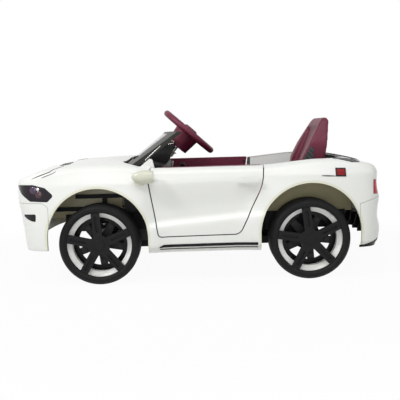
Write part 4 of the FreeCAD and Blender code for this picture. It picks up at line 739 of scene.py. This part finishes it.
class CAR_OT_grille_backing(bpy.types.Operator):
    """Put a dark ribbed plate close behind the grille"""
    bl_idname = "car.grille_backing"
    bl_label = "Grille backing"

    AXES = ((0, 1, 0), (0, 0, 1), (-1, 0, 0))
    BEHIND = 0.006
    WIDTH_SHARE = 0.90
    HEIGHT_SHARE = 0.86
    THICK = 0.003
    RIB_WIDTH = 0.004
    RIB_SHARE = 0.80
    RIB_PITCH = 0.15
    RIB_AHEAD = 0.002

    def execute(self, context):
        low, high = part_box("grille")
        size = high - low
        middle = Vector((high.x + self.BEHIND, 0, (low.z + high.z) / 2))
        plate = (self.WIDTH_SHARE * size.y, self.HEIGHT_SHARE * size.z, self.THICK)
        rib = (self.RIB_WIDTH, self.RIB_SHARE * size.z, self.THICK)
        mould = Mould()
        mould.block(middle, self.AXES, plate, EASED)
        for k in range(-2, 3):
            place = middle + Vector((-self.RIB_AHEAD, self.RIB_PITCH * k * size.y, 0))
            mould.block(place, self.AXES, rib, EASED)
        black = black_finish("trim_black", context)
        piece("grille_backing", mould.mesh("grille_backing"), black, "car")
        return {"FINISHED"}


class CAR_OT_reflectors(bpy.types.Operator):
    """Lay a red tile in a black frame on each rear quarter, with a thin line before it"""
    bl_idname = "car.reflectors"
    bl_label = "Side reflectors"

    MIDDLE = (0.4000, 0.3098)
    POINTS = 7
    # Each strip: its two ends from the middle, its width and its rise
    STRIPS = {"frame": (((-0.0150, 0.0), (0.0145, -0.0012)), 0.0255, 0.0010),
              "tile": (((-0.0112, -0.0002), (0.0112, -0.0010)), 0.0185, 0.0019),
              "line": (((-0.0560, -0.0090), (-0.0150, -0.0112)), 0.0030, 0.0009)}
    TILE_SHADE = 0.6

    def execute(self, context):
        shell = Surface("body_shell")
        frames, tiles = Mould(), Mould()
        x, z = self.MIDDLE
        for side in (1, -1):
            for part, (ends, width, rise) in self.STRIPS.items():
                starts = [(x + dx, -ASIDE * side, z + dz) for dx, dz in ends]
                places = shell.laid(starts, self.POINTS, (0, side, 0))
                widths = tapered(self.POINTS, width) if part == "line" else [width] * self.POINTS
                mould = tiles if part == "tile" else frames
                mould.strip(places, widths, rise)
        black = black_finish("trim_black", context)
        red = red_lens("reflector_red", scaled(tuple(context.scene.car_finishes.red), self.TILE_SHADE))
        piece("reflector_frames", frames.mesh("reflector_frames"), black, "car")
        piece("side_reflectors", tiles.mesh("side_reflectors"), red, "car")
        return {"FINISHED"}


class CAR_OT_rim_flanges(bpy.types.Operator):
    """Turn the white rim down into the cabin, beside the seat"""
    bl_idname = "car.rim_flanges"
    bl_label = "Rim flanges"

    RUN_X = (0.1935, 0.3790)
    SIDE_Y = 0.2440
    FOOT_Z = 0.2925
    LEAN = 0.004
    POINTS = 25

    def execute(self, context):
        thick = context.scene.car_sizes.flange_thick
        white = moulded_white("flange_white", tuple(context.scene.car_finishes.white))
        shell = Surface("body_shell")
        mould = Mould()
        for side in (1, -1):
            out = Vector((0, side * thick, 0))
            starts = [(x, side * self.SIDE_Y, ABOVE) for x in self.RUN_X]
            rows = []
            for top, _ in shell.laid(starts, self.POINTS, DOWN):
                foot = Vector((top.x, top.y - side * self.LEAN, self.FOOT_Z))
                rows.append([top, foot, foot + out, top + out])
            mould.skin(rows)
        piece("rim_flanges", mould.mesh("rim_flanges"), white, "car")
        return {"FINISHED"}


class CAR_OT_deck(bpy.types.Operator):
    """Lay slats across the deck panel, and a strip on each shoulder beside it"""
    bl_idname = "car.deck"
    bl_label = "Deck slats"

    SLATS = 8
    SLAT_POINTS = 21
    SLAT_WIDTH = 0.0048
    SLAT_RISE = 0.0016
    INSET_X = 0.009
    INSET_Y = 0.010
    DRAW_IN = 0.022
    SHOULDER = ((0.384, 0.2530), (0.425, 0.2580), (0.458, 0.2640))
    SHOULDER_POINTS = 15
    SHOULDER_WIDTH = 0.024
    SHOULDER_RISE = 0.0012

    def shoulder_widths(self):
        """Widths that grow slowly from the front and draw in fast at the back."""
        last = self.SHOULDER_POINTS - 1
        shares = [min(1.0, 0.3 + 0.1 * k, 0.2 + 0.2 * (last - k)) for k in range(last + 1)]
        return [self.SHOULDER_WIDTH * share for share in shares]

    def execute(self, context):
        grey = tuple(context.scene.car_finishes.grey)
        dress(moulded_black("deck_ground", grey, 0.5, 300.0, 0.2), "deck_panel")
        deck = Surface("deck_panel")
        low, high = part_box("deck_panel")
        mould = Mould()
        for k in range(self.SLATS):
            share = k / (self.SLATS - 1)
            x = low.x + self.INSET_X + (high.x - low.x - 2 * self.INSET_X) * share
            reach = high.y - self.INSET_Y - self.DRAW_IN * share
            places = deck.laid([(x, -reach, ABOVE), (x, reach, ABOVE)], self.SLAT_POINTS, DOWN)
            mould.strip(places, [self.SLAT_WIDTH] * self.SLAT_POINTS, self.SLAT_RISE)
        shell = Surface("body_shell")
        for side in (1, -1):
            starts = [(x, side * y, ABOVE) for x, y in self.SHOULDER]
            places = shell.laid(starts, self.SHOULDER_POINTS, DOWN)
            mould.strip(places, self.shoulder_widths(), self.SHOULDER_RISE)
        slat = ribbed_grey("deck_slats", scaled(grey, 2.0))
        piece("deck_slats", mould.mesh("deck_slats"), slat, "car")
        return {"FINISHED"}


class CAR_OT_lamps(bpy.types.Operator):
    """Dress the lamps, and set domes in the headlamps whose colours are painted reflections and a painted
    highlight
    """
    bl_idname = "car.lamps"
    bl_label = "Lamps"

    # Painted reflections: the violet and red glints of the headlamps, as rings on the lens and as dome
    # colours
    LENS_GLINT = (0.07, 0.016, 0.04)
    GLINT_SPREAD = 1.8
    BOWLS = (("violet", (-0.4691, 0.2812), 0.0100), ("ruby", (-0.4540, 0.2690), 0.0095))
    BOWL_GLINTS = {"violet": ((0.016, 0.006, 0.024), (0.060, 0.024, 0.080)),
                  "ruby": ((0.028, 0.005, 0.010), (0.060, 0.012, 0.020))}
    BOWL_TURNS = (0, 0.4, 0.8, 1.2, 1.5)
    BOWL_FOOT = 0.001
    BOWL_RISE = 0.0022
    # Painted highlight: a near-white dome where the headlamp shows a white glint
    SPARK = (-0.4555, 0.2838)
    SPARK_PROFILE = ((0.0042, 0.0), (0.0042, 0.0016), (0.0030, 0.0028), (0.0012, 0.0033))
    SPARK_HIGHLIGHT = ((0.80, 0.78, 0.78), (0.95, 0.95, 0.95))
    FOG_SPOT = (-0.488, 0.202, 0.010)
    FOG_TINT = (0.004, 0.004, 0.005)
    FOG_GLINT = (0.02, 0.02, 0.02)
    SUNK = 0.001

    def set_in(self, lens, place, profile, mould):
        """Turn a profile on both headlamps at a place in side view."""
        x, z = place
        for side in (1, -1):
            spot, normal = lens.seen((x, -ASIDE * side, z), (0, side, 0))
            mould.turned(profile, spot - normal * self.SUNK, normal)

    def bowl_profile(self, size):
        """A shallow dome on a short foot."""
        dome = [(size * math.cos(turn), self.BOWL_FOOT + self.BOWL_RISE * math.sin(turn))
                for turn in self.BOWL_TURNS]
        return [(size, 0.0)] + dome

    def execute(self, context):
        tint = context.scene.car_finishes
        lens = Surface("headlamps")
        spots = [(x, z, self.GLINT_SPREAD * size) for _, (x, z), size in self.BOWLS]
        dress(lamp_lens("headlamp_lens", tuple(tint.lamp), self.LENS_GLINT, spots), "headlamps")
        dress(lamp_lens("fog_lens", self.FOG_TINT, self.FOG_GLINT, [self.FOG_SPOT]), "fog_lamps")
        dress(red_lens("tail_lens", tuple(tint.red)), "tail_lamps")
        for name, place, size in self.BOWLS:
            mould = Mould()
            self.set_in(lens, place, self.bowl_profile(size), mould)
            glass = glint_glass(f"{name}_glass", *self.BOWL_GLINTS[name])
            piece(f"{name}_bowls", mould.mesh(f"{name}_bowls"), glass, "car")
        # Painted highlight: the near-white dome stands for a glint on the headlamp
        mould = Mould()
        self.set_in(lens, self.SPARK, self.SPARK_PROFILE, mould)
        spark = glint_glass("spark_highlight", *self.SPARK_HIGHLIGHT)
        piece("highlight_domes", mould.mesh("highlight_domes"), spark, "car")
        return {"FINISHED"}


class CAR_OT_wheels(bpy.types.Operator):
    """Dress the tyres, the rims and the caps, and raise the ribs on the sidewalls"""
    bl_idname = "car.wheels"
    bl_label = "Wheels"

    SIDEWALL_RIBS = (0.1010, 0.1062)
    # Each ring: its outer and its inner edge, as radius and depth
    RING = ((0.0918, 0.2630), (0.0795, 0.2570))
    WEB_RING = ((0.0820, 0.2340), (0.0660, 0.2340))
    RING_STEPS = 96
    BAND = (0.0940, 0.0815)

    def ring(self, name, end, side, edges, thick, finish, slot):
        """A dished ring on the wheel, between two edges of (radius, depth)."""
        centre = wheel_centre(end, side)
        outward = math.copysign(1, centre.y)
        (outer, face), (inner, sunk) = edges
        section = ((outer, face), (inner, sunk), (inner, sunk - thick), (outer, face - thick))
        rows = []
        for k in range(self.RING_STEPS):
            turn = math.tau * k / self.RING_STEPS
            across, up = math.cos(turn), math.sin(turn)
            rows.append([Vector((centre.x + r * across, outward * depth, centre.z + r * up))
                         for r, depth in section])
        mould = Mould()
        mould.skin(rows, ring=True)
        name = f"{name}_{end}_{side}"
        piece(name, mould.mesh(name), finish, f"wheel_{end}_{side}")

    def sidewall(self, end, side, rubber, thick):
        """Round ribs on the outer sidewall of one tyre."""
        centre = wheel_centre(end, side)
        tyre = Surface(f"tyre_{end}_{side}")
        outward = math.copysign(1, centre.y)
        mould = Mould()
        for radius in self.SIDEWALL_RIBS:
            spot, _ = tyre.seen((centre.x, outward * ASIDE, centre.z + radius), (0, -outward, 0))
            mould.hoop(radius, Vector((centre.x, spot.y, centre.z)), (0, 1, 0), thick)
        name = f"sidewall_ribs_{end}_{side}"
        piece(name, mould.mesh(name), rubber, f"wheel_{end}_{side}")

    def execute(self, context):
        tint = context.scene.car_finishes
        sizes = context.scene.car_sizes
        rubber = tyre_rubber("tyre_rubber", tuple(tint.rubber))
        cap = moulded_black("cap_black", tuple(tint.black), 0.30, 900.0, 0.05)
        paint = moulded_white("ring_white", tuple(tint.ring))
        for end in ENDS:
            centre = wheel_centre(end)
            rim = painted_rim(f"rim_{end}", tuple(tint.ring), tuple(tint.black), centre, *self.BAND)
            for side in SIDES:
                dress(rubber, f"tyre_{end}_{side}")
                dress(rim, f"rim_{end}_{side}")
                dress(cap, f"wheel_cap_{end}_{side}")
                self.sidewall(end, side, rubber, sizes.rib_thick)
                self.ring("wheel_ring", end, side, self.RING, sizes.ring_thick, paint, "rim_white")
                self.ring("web_ring", end, side, self.WEB_RING, sizes.ring_thick, cap, "cap_black")
        return {"FINISHED"}


class CAR_OT_cabin(bpy.types.Operator):
    """Dress the cabin and put in the moulded seat"""
    bl_idname = "car.cabin"
    bl_label = "Cabin"

    SEAT_ROUNDS = 6
    BUTTON_RED = (0.4, 0.012, 0.012)

    def execute(self, context):
        tint = context.scene.car_finishes
        maroon = moulded_maroon("moulded_maroon", tuple(tint.maroon))
        dress(maroon, "steering_wheel", "horn_button", "door_trim_left", "door_trim_right", "seat")
        melted = soft_edged("seat", "seat_moulding", context.scene.car_sizes.seat_melt, self.SEAT_ROUNDS)
        seat = piece("seat_moulding", melted, maroon, "car")
        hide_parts("seat")
        dash = moulded_black("dash_black", tuple(tint.black), 0.5, 500.0, 0.2)
        dress(dash, "dashboard", "column_pod", "shift_lever", "pedal", "charging_socket")
        dress(smoked_plastic("smoked_screen", tuple(tint.smoke)), "windscreen")
        dress(tub_plastic("tub_plastic", tuple(tint.grey), tuple(tint.arch_shade)), "cabin_tub")
        dress(moulded_black("button_red", self.BUTTON_RED, 0.3), "power_button")
        return {"FINISHED"}


class CAR_OT_dials(bpy.types.Operator):
    """Set two dials with rims and needles in the column pod, facing the driver"""
    bl_idname = "car.dials"
    bl_label = "Dials"

    PLACES_Y = (-0.042, 0.042)
    EYE = (0.25, 0.56)
    BROW = (-0.0825, 0.4025)
    RADIUS = 0.0125
    SUNK = 0.0015
    RISE = 0.0008
    EYELET = 0.0005
    RIM_WIRE = 0.0011
    RIM_TINT = (0.75, 0.75, 0.74)
    NEEDLE_LEAN = 0.7
    NEEDLE_LIFT = 0.0013
    NEEDLE_OFFSET = 0.32
    NEEDLE_SHARE = 0.9
    NEEDLE_WIDTH = 0.0011
    NEEDLE_THICK = 0.0009
    NEEDLE_EASED = 0.0002
    NEEDLE_RED = (0.45, 0.03, 0.02)
    HUB_PROFILE = ((0.0017, 0.0005), (0.0017, 0.0018), (0.0009, 0.0023))

    def execute(self, context):
        pod = Surface("column_pod")
        faces, rims, needles = Mould(), Mould(), Mould()
        centres = []
        r = self.RADIUS
        needle = (r * self.NEEDLE_SHARE, self.NEEDLE_WIDTH, self.NEEDLE_THICK)
        for y in self.PLACES_Y:
            eye = Vector((self.EYE[0], y, self.EYE[1]))
            spot, normal = pod.seen(eye, Vector((self.BROW[0], y, self.BROW[1])) - eye)
            centres.append(spot)
            faces.turned([(r, -self.SUNK), (r, self.RISE), (self.EYELET, self.RISE)], spot, normal)
            rims.hoop(r, spot + normal * self.RISE, normal, self.RIM_WIRE, 48)
            up = normal.cross(ACROSS).normalized()
            lean = (up + ACROSS * self.NEEDLE_LEAN).normalized()
            middle = spot + normal * self.NEEDLE_LIFT + lean * r * self.NEEDLE_OFFSET
            needles.block(middle, (lean, normal.cross(lean), normal), needle, self.NEEDLE_EASED)
            needles.turned(self.HUB_PROFILE, spot, normal, 16)
        face = dial_face("dial_face", centres, r)
        piece("dial_faces", faces.mesh("dial_faces"), face, "car")
        bright = plated_steel("bright_trim", self.RIM_TINT, 0.15)
        piece("dial_rims", rims.mesh("dial_rims"), bright, "car")
        red = moulded_black("needle_red", self.NEEDLE_RED)
        piece("dial_needles", needles.mesh("dial_needles"), red, "car")
        return {"FINISHED"}


class CAR_OT_dash_vents(bpy.types.Operator):
    """Set a round vent in each end of the dashboard"""
    bl_idname = "car.dash_vents"
    bl_label = "Dashboard vents"

    PLACES_Y = (-0.190, 0.190)
    START_X = 0.2
    START_Z = 0.295
    HEADING = (-1, 0, 0.05)
    RIM = 0.0165
    RIM_WIRE = 0.0020
    RIM_TINT = (0.42, 0.42, 0.42)
    BORE = 0.0155
    PITCH = 0.0085
    SLAT_WIDTH = 0.0036
    SLAT_THICK = 0.0030
    SLAT_LIFT = 0.0005

    def execute(self, context):
        dash = Surface("dashboard")
        rims, slats = Mould(), Mould()
        for y in self.PLACES_Y:
            spot, normal = dash.seen((self.START_X, y, self.START_Z), self.HEADING)
            rims.hoop(self.RIM, spot, normal, self.RIM_WIRE, 48)
            up = normal.cross(ACROSS).normalized()
            for k in (-1, 0, 1):
                half = math.sqrt(self.BORE ** 2 - (self.PITCH * k) ** 2)
                middle = spot + up * self.PITCH * k + normal * self.SLAT_LIFT
                slat = (2 * half, self.SLAT_WIDTH, self.SLAT_THICK)
                slats.block(middle, (ACROSS, up, normal), slat, EASED)
        satin = plated_steel("satin_trim", self.RIM_TINT, 0.3)
        piece("vent_rims", rims.mesh("vent_rims"), satin, "car")
        black = black_finish("fitting_black", context)
        piece("vent_slats", slats.mesh("vent_slats"), black, "car")
        return {"FINISHED"}


class CAR_OT_door_fittings(bpy.types.Operator):
    """Put a speaker, a pale pink ring round it that is a painted highlight, and a screw on each door's trim
    """
    bl_idname = "car.door_fittings"
    bl_label = "Door fittings"

    SPEAKER = (-0.074, 0.2440)
    RIM = 0.0155
    RIM_WIRE = 0.0016
    CONES = (0.0035, 0.0070, 0.0105)
    CONE_WIRE = 0.0010
    RING_WIRE = 0.0013
    # Painted highlight: pale pink for a gloss highlight on the maroon trim
    HIGHLIGHT_TINT = (0.70, 0.62, 0.63)
    SCREW = (0.1700, 0.3165)
    SCREW_PROFILE = ((0.0042, -0.001), (0.0042, 0.0006), (0.0030, 0.0012), (0.0016, 0.0006))

    def execute(self, context):
        radius = context.scene.car_sizes.speaker_highlight_ring
        black = black_finish("fitting_black", context)
        pale = moulded_white("ring_painted_highlight", self.HIGHLIGHT_TINT)
        for side, sign in zip(SIDES, (-1, 1)):
            trim = Surface(f"door_trim_{side}")
            fittings, ring = Mould(), Mould()
            outward = (0, sign, 0)
            x, z = self.SPEAKER
            spot, normal = trim.seen((x, 0, z), outward)
            fittings.hoop(self.RIM, spot, normal, self.RIM_WIRE, 48)
            for cone in self.CONES:
                fittings.hoop(cone, spot, normal, self.CONE_WIRE, 36)
            # Painted highlight: the pale pink ring round the speaker
            ring.hoop(radius, spot, normal, self.RING_WIRE)
            x, z = self.SCREW
            spot, normal = trim.seen((x, 0, z), outward)
            fittings.turned(self.SCREW_PROFILE, spot, normal, 20)
            name = f"speaker_and_screw_{side}"
            piece(name, fittings.mesh(name), black, f"door_{side}")
            name = f"speaker_highlight_ring_{side}"
            piece(name, ring.mesh(name), pale, f"door_{side}")
        return {"FINISHED"}


class CAR_OT_screen_fittings(bpy.types.Operator):
    """Put a screw and a bright bead on each side of the windscreen"""
    bl_idname = "car.screen_fittings"
    bl_label = "Windscreen fittings"

    SCREW = (-0.1896, 0.3618)
    SCREW_PROFILE = ((0.0050, -0.001), (0.0050, 0.0005), (0.0036, 0.0009), (0.0018, 0.0003))
    BEAD = ((-0.1560, 0.3535), (-0.1080, 0.3955))
    BEAD_POINTS = 15
    BEAD_WIDTH = 0.0026
    BEAD_RISE = 0.0009
    BEAD_TINT = (0.80, 0.80, 0.79)

    def execute(self, context):
        glass = Surface("windscreen")
        screws, beads = Mould(), Mould()
        screw_x, screw_z = self.SCREW
        for sign in (-1, 1):
            inward = (0, -sign, 0)
            spot, normal = glass.seen((screw_x, ASIDE * sign, screw_z), inward)
            screws.turned(self.SCREW_PROFILE, spot, normal, 24)
            places = glass.laid([(x, ASIDE * sign, z) for x, z in self.BEAD], self.BEAD_POINTS, inward)
            beads.strip(places, tapered(self.BEAD_POINTS, self.BEAD_WIDTH), self.BEAD_RISE)
        black = black_finish("fitting_black", context)
        piece("screen_screws", screws.mesh("screen_screws"), black, "car")
        pale = plated_steel("pale_trim", self.BEAD_TINT, 0.2)
        piece("screen_beads", beads.mesh("screen_beads"), pale, "car")
        return {"FINISHED"}


class CAR_OT_floor_ribs(bpy.types.Operator):
    """Lay ribs along both footwells"""
    bl_idname = "car.floor_ribs"
    bl_label = "Floor ribs"

    RUN_X = (-0.085, 0.125)
    START_Z = 0.128
    RIBS = 7
    FIRST_Y = 0.128
    PITCH = 0.014
    POINTS = 9
    WIDTH = 0.0060
    RISE = 0.0018

    def execute(self, context):
        tub = Surface("cabin_tub")
        mould = Mould()
        for sign in (-1, 1):
            for k in range(self.RIBS):
                y = sign * (self.FIRST_Y + self.PITCH * k)
                places = tub.laid([(x, y, self.START_Z) for x in self.RUN_X], self.POINTS, DOWN)
                mould.strip(places, tapered(self.POINTS, self.WIDTH, BLUNT), self.RISE)
        grey = moulded_black("rib_grey", scaled(tuple(context.scene.car_finishes.grey), 1.6), 0.5)
        piece("floor_ribs", mould.mesh("floor_ribs"), grey, "car")
        return {"FINISHED"}


class CAR_OT_chassis(bpy.types.Operator):
    """Dress the frame, the steering gear and the drive"""
    bl_idname = "car.chassis"
    bl_label = "Chassis"

    STEEL = (0.50, 0.50, 0.49)
    BRASS = (0.55, 0.40, 0.16)
    NYLON = (0.60, 0.57, 0.50)

    def execute(self, context):
        black = black_finish("frame_black", context)
        dress(black, "chassis", "front_beam", "gearboxes", "battery")
        steel = plated_steel("plated_steel", self.STEEL)
        dress(steel, "door_hinges", "steering_shaft", "tie_rod", "knuckle_left", "knuckle_right", "kingpins",
              "rear_axle", "chassis_bolts", "motors")
        brass = plated_steel("turned_brass", self.BRASS, 0.25)
        dress(brass, "motor_pinion_left", "motor_pinion_right")
        nylon = moulded_white("natural_nylon", self.NYLON)
        dress(nylon, "column_bushes", "drive_gear_left", "drive_gear_right")
        return {"FINISHED"}


class CAR_OT_splash_guards(bpy.types.Operator):
    """Put a ribbed guard behind the upper half of each wheel"""
    bl_idname = "car.splash_guards"
    bl_label = "Splash guards"

    PLACES_Y = {"front": 0.1470, "rear": 0.1885}
    HEIGHTS = (0.137, 0.190)
    LENGTH = 0.240
    RIB_PITCH = 0.042
    RIB_WIDTH = 0.005
    RIB_INSET = 0.008
    RIB_OUT = 0.8

    def execute(self, context):
        thick = context.scene.car_sizes.guard_thick
        low, high = self.HEIGHTS
        plate = (self.LENGTH, high - low, thick)
        rib = (self.RIB_WIDTH, high - low - self.RIB_INSET, thick)
        mould = Mould()
        for end in ENDS:
            for sign in (-1, 1):
                out = Vector((0, sign, 0))
                axes = ((1, 0, 0), (0, 0, 1), out)
                middle = Vector((wheel_centre(end).x, sign * self.PLACES_Y[end], (low + high) / 2))
                mould.block(middle, axes, plate, EASED)
                for k in range(-2, 3):
                    place = middle + Vector((self.RIB_PITCH * k, 0, 0)) + out * thick * self.RIB_OUT
                    mould.block(place, axes, rib, EASED)
        black = black_finish("frame_black", context)
        piece("splash_guards", mould.mesh("splash_guards"), black, "car")
        return {"FINISHED"}


class CAR_OT_stage(bpy.types.Operator):
    """Set up the floor, the light and the camera"""
    bl_idname = "car.stage"
    bl_label = "Stage"

    WHITE = (1.0, 1.0, 1.0, 1.0)
    FLOOR_HALF = 14.0
    PAPER = ((0.70, 0.70, 0.69), (0.74, 0.74, 0.73))
    HELD = 0.95
    SHADOW_REACH = (0.75, 1.25)
    AMBIENT = 0.24
    AMBIENT_TINT = (0.92, 1.0, 0.90, 1.0)
    # Each lamp: where it stands, what it aims at, its two sides and its power
    LAMPS = {"sky": ((0.1, -2.0, 2.75), (0.0, 0.0, 0.2), (2.4, 2.0), 42),
             "key": ((-2.2, -1.3, 2.4), (0.0, 0.0, 0.2), (0.5, 0.5), 42),
             "fill": ((2.4, -1.9, 1.0), (0.1, 0.0, 0.2), (1.6, 1.6), 5),
             "low": ((-0.3, -3.0, 0.42), (0.0, 0.0, 0.2), (2.6, 0.7), 11)}
    SENSOR = 36.0
    FAR_CLIP = 60.0

    def floor(self):
        """White paper that keeps a soft shadow near the car."""
        mesh = bpy.data.meshes.new("floor")
        half = self.FLOOR_HALF
        corners = [(half * a, half * b, 0) for a, b in ((-1, -1), (1, -1), (1, 1), (-1, 1))]
        mesh.from_pydata(corners, [], [(0, 1, 2, 3)])
        look = Look("floor_paper")
        white = look.node("ShaderNodeEmission", {}, {"Color": self.WHITE, "Strength": 1.0})
        x, y, _ = look.axes()
        far = ((x * x + y * y) ** 0.5).step(*self.SHADOW_REACH)
        look.set(Base_Color=look.mix(look.noise(3.0), *self.PAPER), Roughness=0.9)
        held = look.backdrop_rays() * (self.HELD + (1 - self.HELD) * far)
        matt = Field(look, look.shader.outputs[0])
        paper = look.node("ShaderNodeMixShader", {}, {0: held, 1: matt, 2: white})
        look.feed(look.tree.nodes["Material Output"].inputs["Surface"], paper)
        made = bpy.data.objects.new("floor", mesh)
        mesh.materials.append(look.material)
        bpy.context.scene.collection.objects.link(made)

    def world(self, level):
        """White where it is seen, and a soft light elsewhere."""
        world = bpy.data.worlds.new("studio")
        bpy.context.scene.world = world
        world.use_nodes = True
        studio = Graph(world.node_tree)
        soft = studio.node("ShaderNodeBackground", {}, {"Color": self.AMBIENT_TINT, "Strength": level})
        white = studio.node("ShaderNodeBackground", {}, {"Color": self.WHITE, "Strength": 1.0})
        both = studio.node("ShaderNodeMixShader", {}, {0: studio.backdrop_rays(), 1: soft, 2: white})
        studio.feed(world.node_tree.nodes["World Output"].inputs["Surface"], both)

    def lamp(self, name, place, aim, size, watts):
        """A rectangular lamp that faces its aim."""
        data = bpy.data.lights.new(name, "AREA")
        data.shape = "RECTANGLE"
        data.size, data.size_y = size
        data.energy = watts
        made = bpy.data.objects.new(name, data)
        bpy.context.scene.collection.objects.link(made)
        made.location = place
        made.rotation_euler = (Vector(aim) - Vector(place)).to_track_quat("-Z", "Y").to_euler()

    def camera(self, stage):
        """The camera, where the photograph was taken from."""
        data = bpy.data.cameras.new("camera")
        data.sensor_width = self.SENSOR
        data.lens = stage.reach
        data.clip_end = self.FAR_CLIP
        camera = bpy.data.objects.new("camera", data)
        bpy.context.scene.collection.objects.link(camera)
        camera.location = stage.camera
        turn = Matrix.Rotation(-stage.yaw, 4, "Z") @ Matrix.Rotation(math.pi / 2 + stage.pitch, 4, "X")
        camera.rotation_euler = (turn @ Matrix.Rotation(stage.roll, 4, "Z")).to_euler()
        return camera

    def execute(self, context):
        stage = context.scene.car_stage
        self.floor()
        self.world(self.AMBIENT * stage.light)
        for name, (place, aim, size, watts) in self.LAMPS.items():
            self.lamp(name, place, aim, size, watts * stage.light)
        context.scene.camera = self.camera(stage)
        context.scene.view_settings.view_transform = "Standard"
        return {"FINISHED"}


class CAR_PT_dresser(bpy.types.Panel):
    """The dresser's steps and settings"""
    bl_idname = "CAR_PT_dresser"
    bl_label = "Ride-on car"
    bl_space_type = "VIEW_3D"
    bl_region_type = "UI"
    bl_category = "Ride-on car"

    def draw(self, context):
        for step in STEPS:
            self.layout.operator(step.bl_idname)
        scene = context.scene
        for settings in (scene.car_finishes, scene.car_sizes, scene.car_stage):
            column = self.layout.column()
            for key in settings.__annotations__:
                column.prop(settings, key)


STEPS = (CAR_OT_stage, CAR_OT_body, CAR_OT_stripes, CAR_OT_bonnet_vents, CAR_OT_grille_backing,
         CAR_OT_reflectors, CAR_OT_rim_flanges, CAR_OT_deck, CAR_OT_lamps, CAR_OT_wheels, CAR_OT_cabin,
         CAR_OT_dials, CAR_OT_dash_vents, CAR_OT_door_fittings, CAR_OT_screen_fittings, CAR_OT_floor_ribs,
         CAR_OT_chassis, CAR_OT_splash_guards)
CLASSES = (CarFinishes, CarSizes, CarStage) + STEPS + (CAR_PT_dresser,)


def register():
    for item in CLASSES:
        bpy.utils.register_class(item)
    bpy.types.Scene.car_finishes = bpy.props.PointerProperty(type=CarFinishes)
    bpy.types.Scene.car_sizes = bpy.props.PointerProperty(type=CarSizes)
    bpy.types.Scene.car_stage = bpy.props.PointerProperty(type=CarStage)


def unregister():
    del bpy.types.Scene.car_stage
    del bpy.types.Scene.car_sizes
    del bpy.types.Scene.car_finishes
    for item in reversed(CLASSES):
        bpy.utils.unregister_class(item)


def main():
    register()
    bpy.ops.car.stage()
    bpy.ops.car.body()
    bpy.ops.car.stripes()
    bpy.ops.car.bonnet_vents()
    bpy.ops.car.grille_backing()
    bpy.ops.car.reflectors()
    bpy.ops.car.rim_flanges()
    bpy.ops.car.deck()
    bpy.ops.car.lamps()
    bpy.ops.car.wheels()
    bpy.ops.car.cabin()
    bpy.ops.car.dials()
    bpy.ops.car.dash_vents()
    bpy.ops.car.door_fittings()
    bpy.ops.car.screen_fittings()
    bpy.ops.car.floor_ribs()
    bpy.ops.car.chassis()
    bpy.ops.car.splash_guards()


if __name__ == "__main__":
    main()
